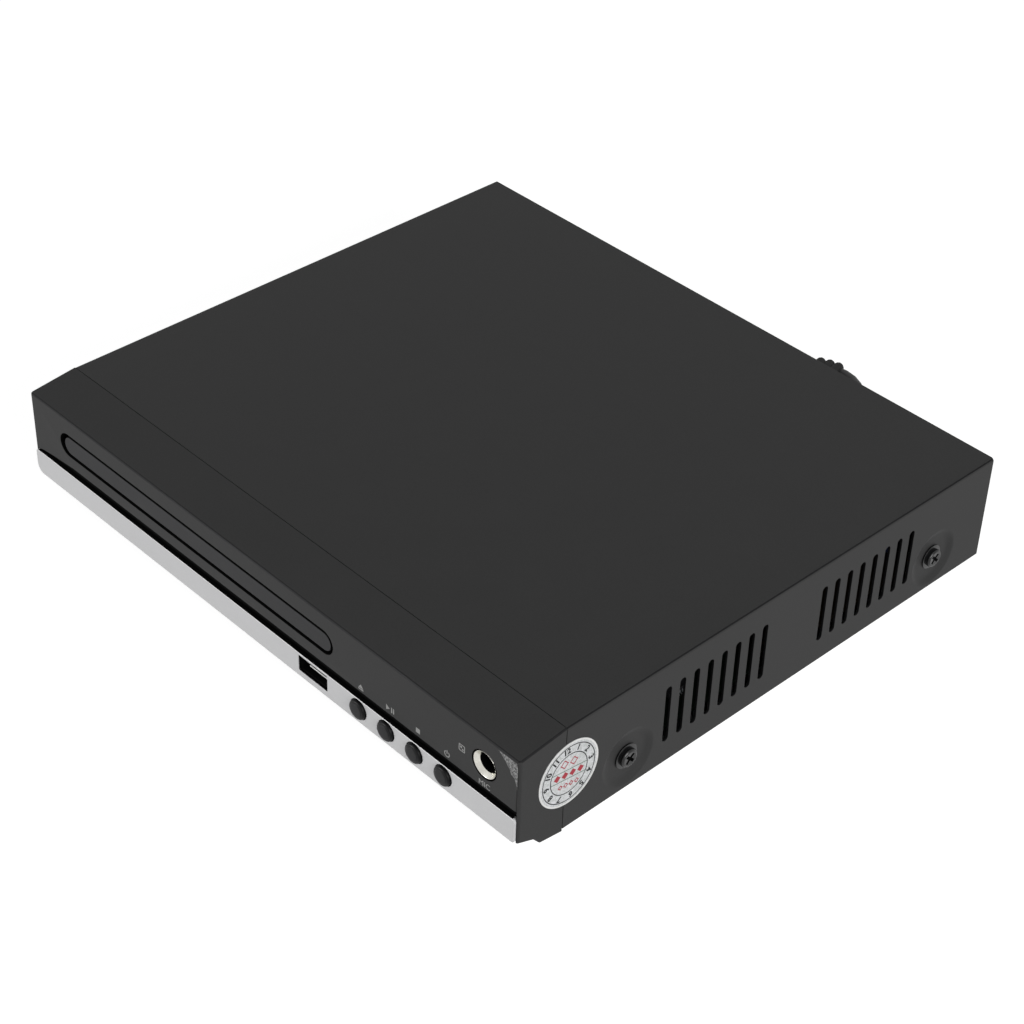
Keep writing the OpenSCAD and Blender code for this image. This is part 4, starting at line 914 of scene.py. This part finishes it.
@dataclass
class SteelCover:
    """The bent sheet-steel cover, with its vents and dished screw seats."""

    half_width: float = 115.0
    top: float = 41.1
    bottom: float = 3.0
    near: float = -87.75
    sheet: float = 0.8
    bend: float = 1.2
    lip: Loop = field(default_factory=lambda: oblong(225.2, 8.8, (0, 36.3)))
    lip_depth: Point = (-97.9, -97.1)
    seat: tuple = ((0, -2.0), (8.1, -2.0), (9.4, -1.4), (10.3, -0.5), (10.3, -0.2), (0, -0.2))
    hollow: tuple = ((0, -1.15), (6.8, -1.15), (7.7, -1.08), (8.4, -0.85), (9.1, -0.48), (9.8, -0.16),
                     (10.5, 0.0), (11.2, 0.04), (11.2, 3), (0, 3))
    # Sizes of the slots, where each group's first slot is, and how many slots a group has
    slot: dict = field(default_factory=lambda: {
        "Length": 20.8, "Width": 2.4, "Pitch": 5.8, "First": -47.3, "Second": 19.8, "Height": 21.6,
        "Count": 8})
    slots_reach: float = 78.8

    def section(self, inset: float) -> Loop:
        """The bent section, from the left foot over the top to the right foot."""
        x, top, r = self.half_width - inset, self.top - inset, self.bend - inset
        left = [(-x, self.bottom)] + ring(r, (-x + r, top - r), 8, 180, -90)
        return left + [(-a, b) for a, b in reversed(left)]

    def shell(self) -> Piece:
        """Bend the sheet and add its rear lip."""
        outline = self.section(0) + self.section(self.sheet)[::-1]
        made = prism("cover", outline, Side.FRONT, -REAR_FACE, -self.near)
        return combine(made, prism("lip", self.lip, Side.FRONT, *self.lip_depth), "UNION")

    def pierce(self, made: Piece) -> Piece:
        """Press the screw seats in, with soft rims, and drill all holes."""
        for side, x in ((Side.RIGHT, self.half_width), (Side.LEFT, -self.half_width)):
            for y in SIDE_SCREWS:
                place = (x, y, SIDE_SCREW_ROW)
                combine(made, lathe("seat", self.seat, side, place), "UNION")
                combine(made, lathe("hollow", self.hollow, side, place, 64), "DIFFERENCE")
                combine(made, lathe("hole", rod(1.8, -4, 2), side, place, 24), "DIFFERENCE")
        for x in REAR_SCREWS:
            hole = lathe("hole", rod(1.4, -6, 3), Side.REAR, (x, REAR_FACE, REAR_SCREW_ROW), 16)
            combine(made, hole, "DIFFERENCE")
        return made

    def tree(self) -> Tree:
        """Build the tree that cuts both groups of slots through both sides."""
        tree, given = start_tree("vent_slots", {"Sheet": "Geometry", **{
            label: "Int" if label == "Count" else "Float" for label in self.slot}, "Finish": "Material"})
        half = add_node(tree, "ShaderNodeMath", {0: given["Width"], 1: 0.499}, operation="MULTIPLY")
        frame = add_node(tree, "GeometryNodeCurvePrimitiveQuadrilateral", {
            "Width": given["Width"], "Height": given["Length"]})
        round_ends = add_node(tree, "GeometryNodeFilletCurve", {
            "Curve": frame, "Radius": half, "Limit Radius": True, "Count": 6}, mode="POLY")
        axis = add_node(tree, "GeometryNodeCurvePrimitiveLine", {"Start": (0, 0, -125), "End": (0, 0, 125)})
        cutter = add_node(tree, "GeometryNodeCurveToMesh", {
            "Curve": axis, "Profile Curve": round_ends, "Fill Caps": True})
        lying = add_node(tree, "GeometryNodeTransform", {
            "Geometry": cutter, "Rotation": (math.radians(90), 0, math.radians(90))})
        step = add_node(tree, "ShaderNodeCombineXYZ", {"Y": given["Pitch"]})
        groups = add_node(tree, "GeometryNodeJoinGeometry")
        for name in ("First", "Second"):
            start = add_node(tree, "ShaderNodeCombineXYZ", {"Y": given[name], "Z": given["Height"]})
            row = add_node(tree, "GeometryNodeMeshLine", {
                "Count": given["Count"], "Start Location": start, "Offset": step})
            tree.links.new(row.outputs[0], groups.inputs[0])
        laid = add_node(tree, "GeometryNodeInstanceOnPoints", {
            "Points": groups, "Instance": lying})
        solid = add_node(tree, "GeometryNodeRealizeInstances", {"Geometry": laid})
        cut = add_node(tree, "GeometryNodeMeshBoolean", {
            "Mesh 1": given["Sheet"], "Mesh 2": solid}, operation="DIFFERENCE", solver="EXACT")
        return end_tree(tree, cut.outputs[0], given["Finish"])

    def build(self) -> None:
        """Make the cover."""
        made = self.pierce(self.shell())
        run_tree(made, self.tree(), {**self.slot, "Finish": COVER_PAINT.material()})
        made.data.materials.clear()
        # Painted shade: the middle of each bend and the cut walls of the vent slots get the darker copy of
        # the paint
        shade_band = 0.45 * self.bend
        mark_faces(made, 1, lambda c, n: abs(c.x) > self.half_width - shade_band and c.z > self.top - shade_band)
        mark_faces(made, 1, lambda c, n: abs(n.x) < 0.1 and abs(c.x) > self.half_width - self.sheet
                   and abs(c.z - self.slot["Height"]) < self.slot["Length"] / 2 + 0.1
                   and abs(c.y) < self.slots_reach)
        settle(made, COVER_PAINT, "top_cover", ease=0.12, more=(COVER_PAINTED_SHADE,))


@dataclass
class FrontPanel:
    """The moulded front: eased outer edges, the groove and recesses painted black as shade, a painted shade
    line along its top edge, and its printed marks.
    """

    half_width: float = 114.996
    outline: tuple = ((-84, 41.1), (-88, 41.1), (PANEL_FACE, 39.1), (PANEL_FACE, 8.6), (-98.9, 6), (-96.4, 3),
                      (-88, 1.8), (-84, 1.8))
    near: float = -87.9
    corner: float = 1.3
    top_edge: float = 0.8
    # How round the ends are above and below, and the foot's edge, each as a share of the corners
    end_shares: Point = (0.6, 0.4)
    foot_share: float = 0.3
    waist: float = 20.0
    # Left, right, low, high and deep ends of the groove and of the tray's mouth, and the front of both
    recesses: tuple = ((-113.6, 114.4, 16.8, 20.48, -103.9), (-99.3, 37.1, 24.3, 33.2, -103.1))
    mic_recess: Point = (5.05, -103.0)
    skin: float = -105.38
    film: tuple = ((106.8, 38.3), (114.0, 38.2), (114.3, 37.4), (114.4, 31.5), (114.3, 28.8), (113.9, 30.6),
                   (113.2, 32.2), (111.9, 32.9), (111.0, 34.6), (109.7, 35.9), (108.4, 37.2))

    def roundness(self, a: Vector, b: Vector) -> float:
        """How round an edge of the outer form is, as a share of the corners."""
        if min(a.y, b.y) > self.near:
            return 0.0
        if abs(a.x - b.x) < 0.01:
            above, below = self.end_shares
            return 1.0 if abs(a.y - b.y) < 0.01 else above if max(a.z, b.z) > self.waist else below
        if abs(a.z - self.outline[2][1]) < 0.1:
            return self.top_edge / self.corner
        return self.foot_share if a.z < self.waist else 0.0

    def block(self) -> Piece:
        """The panel's outer form with rounded edges, to trim the moulding with."""
        made = prism("block", self.outline, Side.RIGHT, -self.half_width, self.half_width)
        bm = bmesh.new()
        bm.from_mesh(made.data)
        weights = bm.edges.layers.float.new("bevel_weight_edge")
        for edge in bm.edges:
            edge[weights] = self.roundness(*(v.co for v in edge.verts))
        bm.to_mesh(made.data)
        bm.free()
        soft = made.modifiers.new("ease", "BEVEL")
        soft.width, soft.segments, soft.limit_method = self.corner, 5, "WEIGHT"
        return bake(made)

    def dark(self, c: Vector, n: Vector) -> bool:
        """Whether a face lies in the groove, the tray's mouth or the recess of the microphone socket, which
        are painted black as shade.
        """
        reach, floor = self.mic_recess
        by_mic = from_mic(c) < reach and c.y < floor
        return c.y > self.skin and (by_mic or any(
            left < c.x < right and low < c.z < high and c.y < deep
            for left, right, low, high, deep in self.recesses))

    def print_on(self, name: str, *loops: Loop) -> Piece:
        """Thin ink or film on the face."""
        return plate(name, list(loops), Side.FRONT, (0, PANEL_FACE - INK_LIFT, 0), INK)

    def marks(self) -> Piece:
        """Print the marks of the buttons and the socket."""
        power = (86.2, 22.3)
        arc = ring(1.15, power, 24, 125, 290) + ring(0.8, power, 24, 125, 290)[::-1]
        screen = (92.2, 28.7)
        drawn = [
            [[(48.2, 21.9), (50.4, 21.9), (49.3, 23.3)]], [oblong(2.2, 0.4, (49.3, 21.45))],
            [[(60.4, 21.5), (60.4, 23.5), (61.9, 22.5)]], [oblong(0.4, 2.0, (62.75, 22.5))],
            [oblong(0.4, 2.0, (63.6, 22.5))],
            [oblong(1.7, 1.7, (74.0, 22.5))],
            [arc], [oblong(0.36, 1.3, (86.2, 23.0))],
            [rounded(2.5, 2.5, 0.3, screen), rounded(1.9, 1.9, 0.2, screen)],
            [oblong(0.7, 0.7, (91.9, 29.0))], [oblong(0.6, 0.6, (92.6, 28.3))],
        ]
        words = text("MIC", 2.0, Side.FRONT, (101.5, PANEL_FACE - INK_LIFT, 21.55))
        return merged("printed_marks", [self.print_on("mark", *loops) for loops in drawn] + [words])

    def build(self, frame: dict) -> None:
        """Make the moulding and its print."""
        made = from_node(frame, "front_panel", "front_moulding")
        combine(made, self.block(), "INTERSECT")
        # Painted shade: the groove, the tray's mouth and the socket's recess are painted black
        mark_faces(made, 1, self.dark)
        # Painted shade: the bevel of the top front edge gets a darker line
        mark_faces(made, 2, lambda c, n: 0.3 < n.z < 0.9 and c.z > self.outline[2][1] - self.corner
                   and c.y < self.near)
        settle(made, PANEL_ABS, "front_panel", more=(RECESS_PAINTED_SHADE, PANEL_EDGE_PAINTED_SHADE))
        settle(self.marks(), PRINT_GREY)
        settle(self.print_on("film_scrap", self.film), PANEL_FILM)


@dataclass
class TrimStrip:
    """The silver strip along the lower front."""

    half_width: float = 114.2
    bottom: float = 8.6
    top: float = 17.4
    front: float = -105.9
    thick: float = 1.7
    big_corner: float = 3.2
    small_corner: float = 1.0
    button_hole: float = 3.5
    ease: float = 0.16
    socket_hole: tuple = (13.2, 5.9, 0.5, (27.9, BUTTON_ROW), 4)

    def outline(self) -> Loop:
        """The strip's outline, with one large corner at the lower left."""
        x, r, s = self.half_width, self.big_corner, self.small_corner
        return (ring(r, (r - x, self.bottom + r), 12, 180, 90) + ring(s, (x - s, self.bottom + s), 6, 270, 90)
                + ring(s, (x - s, self.top - s), 6, 0, 90) + ring(s, (s - x, self.top - s), 6, 90, 90))

    def build(self) -> None:
        """Make the strip."""
        loops = [self.outline(), rounded(*self.socket_hole)]
        loops += [ring(self.button_hole, (x, BUTTON_ROW)) for x in BUTTONS.values()]
        made = plate("silver_strip", loops, Side.FRONT, (0, self.front, 0), self.thick, ease=self.ease)
        # Painted shade: the strip's top face and the walls of its holes are painted black
        mark_faces(made, 1, lambda c, n: c.y > self.front + self.ease and n.y < 0.99
                   and c.z > self.bottom + 0.3 and abs(c.x) < self.half_width - self.big_corner)
        # Painted highlight: a near-white line along the strip's upper edge
        mark_faces(made, 2, lambda c, n: n.z > 0.3 and n.y < -0.1 and c.z > self.top - self.ease)
        settle(made, STRIP_LACQUER, "trim_strip", more=(RECESS_PAINTED_SHADE, STRIP_PAINTED_HIGHLIGHT))


@dataclass
class Controls:
    """Four push buttons, each with a flat grained face inside a bevelled rim."""

    radius: float = 3.3
    front: float = -107.2
    flange_front: float = -103.1
    flange_rear: float = -102.0
    flange_radius: float = 4.5
    flange_foot: float = 9.8
    flange_overlap: float = 0.3
    face_depth: float = 0.14
    face: tuple = ((0, 0), (1.5, -0.02), (2.1, -0.07), (2.3, -0.16), (2.36, -0.24), (2.5, -0.25),
                   (2.8, -0.29))
    # The bevel: how far inside the radius, and how far behind the face
    bevel: tuple = ((0.24, -0.4), (0.08, -0.6), (0.02, -0.8), (0, -1.05))

    def button(self, name: str, x: float) -> Piece:
        """Turn one cap with its flange, which is cut flat below."""
        root = self.front - self.flange_front - self.flange_overlap
        profile = [*self.face, *((self.radius - inset, height) for inset, height in self.bevel),
                   (self.radius, root), (0, root)]
        cap = lathe("cap", profile, Side.FRONT, (x, self.front, BUTTON_ROW), 64)
        outline = [(a, max(b, self.flange_foot)) for a, b in ring(self.flange_radius, (x, BUTTON_ROW), 64)]
        flange = prism("flange", outline, Side.FRONT, -self.flange_rear, -self.flange_front)
        return merged(name + "_cap", [cap, flange])

    def build(self) -> None:
        """Make all four."""
        for name, x in BUTTONS.items():
            made = self.button(name, x)
            # Painted light and shade: the flat face gets the lighter grey, while the sides and rim stay
            # near-black
            mark_faces(made, 1, lambda c, n: c.y < self.front + self.face_depth and n.y < -0.75)
            settle(made, BLACK_ABS_AND_SIDE_SHADE, name, body=name, more=(BUTTON_FACE_PAINTED_LIGHTER,))


@dataclass
class Sockets:
    """The data socket in the strip and the microphone socket beside it."""

    mic_face: float = -105.3
    mic_body: float = -103.0
    mic_collar: float = 4.7
    mic_bore: float = 3.25
    mic_throat: float = -104.0
    flare: tuple = ((0, 1.0), (4.42, 1.0), (4.42, 0.0), (4.3, -0.06), (3.5, -0.95), (3.25, -1.35), (0, -1.35))
    shell_rim: float = -104.85
    contacts_at: Place = (28.9, -104.15, 13.45)
    contacts: tuple = (8.8, 0.56, 0.2)
    contacts_thick: float = 1.2

    def microphone(self, frame: dict) -> None:
        """A nickel bushing with a wide countersink, on its black body."""
        made = from_node(frame, "mic_socket", "microphone_body")
        x, z = MIC_AT
        combine(made, lathe("flare", self.flare, Side.FRONT, (x, self.mic_face, z), 64), "DIFFERENCE")
        mark_faces(made, 1, lambda c, n: from_mic(c) > self.mic_collar or c.y > self.mic_body)
        # Painted shade: the bore behind the throat is painted black
        mark_faces(made, 2, lambda c, n: from_mic(c) < self.mic_bore and c.y > self.mic_throat)
        settle(made, SOCKET_METAL, "mic_socket", more=(BLACK_ABS_AND_SIDE_SHADE, RECESS_PAINTED_SHADE))

    def data_port(self, frame: dict) -> None:
        """A thin shell whose inside is painted black as shade, with a row of pale contacts drawn in matte
        white ink as a painted highlight.
        """
        made = from_node(frame, "data_socket", "data_shell")
        # Painted shade: the inside of the shell and the tongue's front are painted black
        mark_faces(made, 1, lambda c, n: c.y > self.shell_rim or n.y < -0.9)
        settle(made, SOCKET_METAL, "data_socket", more=(RECESS_PAINTED_SHADE,))
        # Painted highlight: the contacts are drawn in matte white, brighter than their pale metal alone
        row = plate("contact_row", [rounded(*self.contacts, steps=3)], Side.FRONT, self.contacts_at,
                    self.contacts_thick)
        settle(row, LABEL_WHITE)

    def build(self, frame: dict) -> None:
        """Make both."""
        self.microphone(frame)
        self.data_port(frame)


@dataclass
class TrayDoor:
    """The door on the tray's front, flush in its opening."""

    left: float = -97.1
    right: float = 35.85
    low: float = 25.45
    high: float = 32.0
    front: float = -105.2
    thick: float = 3.2
    ease: float = 0.3

    def build(self) -> None:
        """Make the door."""
        wide, high = self.right - self.left, self.high - self.low
        loop = rounded(wide, high, high / 2 - 0.01, steps=16)
        place = ((self.left + self.right) / 2, self.front, (self.low + self.high) / 2)
        made = plate("door", [loop], Side.FRONT, place, self.thick, ease=self.ease)
        # Painted shade: the faces of the eased edge that turn away from the front are painted black
        mark_faces(made, 1, lambda c, n: n.y > -0.93 and (n.z > -0.3 or c.y > self.front + self.ease))
        settle(made, DOOR_ABS, "tray_door", body="tray", more=(RECESS_PAINTED_SHADE,))


@dataclass(frozen=True)
class Screw:
    """A cross-recess screw: its turned profile, and the reach, floor and width of its cross."""

    profile: tuple
    reach: float
    floor: float
    width: float

    def build(self) -> Piece:
        """Turn the screw with its head up, and cut its cross."""
        made = lathe("screw", self.profile, Side.TOP, (0, 0, 0), 40)
        for turn in (45, 135):
            blade = prism("blade", oblong(2 * self.reach, self.width), Side.TOP, self.floor, 5)
            blade.data.transform(Matrix.Rotation(math.radians(turn), 4, "Z"))
            combine(made, blade, "DIFFERENCE")
        return made


@dataclass
class Fasteners:
    """The cover's screws, the four at the sides and the four at the rear each set by one tree."""

    side: Screw = Screw((
        (0, -7), (1.0, -7), (1.5, -6.2), (1.5, 0), (4.1, 0), (4.2, 0.12), (4.2, 0.3), (4.05, 0.4),
        (3.1, 0.42), (3.1, 1.25), (2.98, 1.6), (2.6, 1.85), (2.2, 1.8), (0, 1.6)), 1.95, 0.5, 1.0)
    rear: Screw = Screw((
        (0, -7), (1.0, -7), (1.4, -6.3), (1.4, 0), (3, 0), (3, 0.7), (2.8, 1.15), (2.2, 1.4), (0, 1.5)),
        1.8, 0.7, 0.7)
    side_seat: float = 114.1

    def build(self) -> None:
        """Make the side screws and the rear screws."""
        at_sides = [((x * self.side_seat, y, SIDE_SCREW_ROW), (0, 90 * x, 0))
                    for x in (1, -1) for y in SIDE_SCREWS]
        at_rear = [((x, REAR_FACE, REAR_SCREW_ROW), (-90, 0, 0)) for x in REAR_SCREWS]
        for name, node, screw, places in (("side_screws", "cover_screws", self.side, at_sides),
                                          ("back_screws", "rear_screws", self.rear, at_rear)):
            made = Repeats(name, BLACK_SCREW).build(screw.build(), places)
            settle(made, BLACK_SCREW, node)


@dataclass
class RoundLabel:
    """The foil sticker across the seam, with twelve numbers that stand outward between two thin rings."""

    centre: Place = (115.15, -86.5, 23.6)
    radius: float = 11.4
    thick: float = 0.15
    # The rim's two edges, inwards, and the radius and steps of each ring's two edges
    rim: Point = (0.05, 0.55)
    rings: tuple = ((10.12, 96), (9.82, 96), (7.18, 72), (6.88, 72))
    number_ring: float = 8.5
    number_height: float = 2.0
    number_bolder: float = 0.1
    twelve_at: float = 97.0
    lean: float = 0.14

    def ink(self, name: str, loops: list[Loop], finish: Finish) -> None:
        """Print closed loops on the foil."""
        x, y, z = self.centre
        settle(plate(name, loops, Side.RIGHT, (x + INK_LIFT, y, z), INK), finish)

    def numbers(self) -> Piece:
        """Print the twelve numbers, each with its foot to the middle."""
        x, y, z = self.centre
        parts = []
        for number in range(1, 13):
            degrees = self.twelve_at - 30 * number
            across, up = ring(self.number_ring, (y, z), 1, degrees)[0]
            parts.append(text(str(number), self.number_height, Side.RIGHT, (x + INK_LIFT, across, up),
                              self.number_bolder, degrees - 90))
        return merged("label_numbers", parts)

    def bar(self, up: float) -> Loop:
        """A thin bar across the middle, which leans as the whole print does."""
        half, thick = 6.8, 0.24
        return [(x, up - self.lean * x + y) for x, y in oblong(2 * half, thick)]

    def diamond(self, right: float, up: float, half: float) -> Loop:
        """A diamond, whose height is its width."""
        return ring(half, (right, up - self.lean * right), 4)

    def build(self) -> None:
        """Make the sticker and its print."""
        foil = plate("round_label", [ring(self.radius, steps=96)], Side.RIGHT, self.centre, self.thick)
        settle(foil, LABEL_FOIL, "seal_label")
        self.ink("label_rim", [ring(self.radius - inset, steps=96) for inset in self.rim], LABEL_WHITE)
        self.ink("label_rings", [ring(radius, steps=steps) for radius, steps in self.rings], LABEL_BLACK)
        settle(self.numbers(), LABEL_BLACK)
        self.ink("label_lines", [self.bar(1.6), self.bar(-1.75)], LABEL_GREEN)
        marks = [self.diamond(right, -0.1, 1.3) for right in (-4.5, -1.5, 1.5, 4.5)]
        for up, half, places in ((4.1, 1.6, (-1.8, 1.8)), (-4.0, 0.95, (-3.15, -1.05, 1.05, 3.15))):
            marks += [self.diamond(right, up, size) for right in places for size in (half, half - 0.45)]
        self.ink("label_marks", marks, LABEL_RED)


@dataclass
class InnerWorks:
    """Everything that keeps its CAD form: copies with eased edges in their own finishes."""

    ease: dict = field(default_factory=lambda: {
        "base_pan": 0.15, "rear_panel": 0.15, "feet": 0.5, "tray": 0.35, "loader_frame": 0.3,
        "clamp_bridge": 0.2, "clamper": 0.3, "transformer": 0.4, "capacitors": 0.5, "tap_switches": 0.2,
        "spindle_motor": 0.3, "optical_pickup": 0.3, "sled_motor": 0.3, "tray_motor": 0.4, "turntable": 0.3,
        "phono_sockets": 0.2, "traverse_frame": 0.3, "drive_plate": 0.15, "dampers": 0.3, "main_chips": 0.15,
        "heat_sink": 0.15})
    own: tuple = ("top_cover", "front_panel", "trim_strip", "cover_screws", "rear_screws", "seal_label",
                  "tray_door", "data_socket", "mic_socket", "mains_lead", "lead_coil", "lead_tie", "plug",
                  "strain_relief", *BUTTONS)
    # Middle, width and depth of each chip
    chips: tuple = ((76, -28, 24, 24), (78, -50, 12, 16), (58, -35, 8, 12), (98, -28, 10, 10),
                    (80, -5, 23, 7))
    slim_chip: float = 9.0
    board_top: float = 10.6
    # The legs: how much of a side has none, how far they stand out, and their bent outline 1 mm apart
    bare_ends: float = 1.5
    leg_gap: float = 0.3
    leg: tuple = ((-0.5, 0.9), (-0.1, 0.9), (0.15, 0.25), (0.7, 0.2), (0.7, 0.02), (0.05, 0.02), (-0.25, 0.7),
                  (-0.5, 0.7))

    def legs(self) -> None:
        """Solder the chips' legs, all set by one tree."""
        places = []
        for x, y, wide, deep in self.chips:
            for side in (-1, 1):
                count = int(wide - self.bare_ends)
                places += [((x + k - (count - 1) / 2, y + side * (deep / 2 + self.leg_gap), self.board_top),
                            (0, 0, 90 * side)) for k in range(count)]
                count = int(deep - self.bare_ends) if deep > self.slim_chip else 0
                places += [((x + side * (wide / 2 + self.leg_gap), y + k - (count - 1) / 2, self.board_top),
                            (0, 0, 90 - 90 * side)) for k in range(count)]
        foot = prism("leg", self.leg, Side.FRONT, -0.2, 0.2)
        settle(Repeats("chip_legs", DIE_CAST).build(foot, places), DIE_CAST)

    def build(self, frame: dict) -> None:
        """Copy, ease and dress each node that has no piece of its own."""
        slots = {p["node"]: p["material_slot"] for p in frame["record"]["subparts"]}
        homes = {n: body for body, held in frame["record"]["behaviour"]["bodies"].items() for n in held}
        for node in frame["nodes"]:
            if node in self.own:
                continue
            made = from_node(frame, node, node + "_eased")
            settle(made, BY_SLOT[slots[node]], node, body=homes[node], ease=self.ease.get(node, 0.0))
        self.legs()


def main() -> None:
    """Build the studio and every sub-assembly in order."""
    logging.basicConfig(level=logging.INFO, format="%(name)s %(message)s")
    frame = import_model()
    Studio().build()
    MainsLead().build()
    SteelCover().build()
    FrontPanel().build(frame)
    TrimStrip().build()
    Controls().build()
    Sockets().build(frame)
    TrayDoor().build()
    Fasteners().build()
    RoundLabel().build()
    InnerWorks().build(frame)


if __name__ == "__main__":
    main()
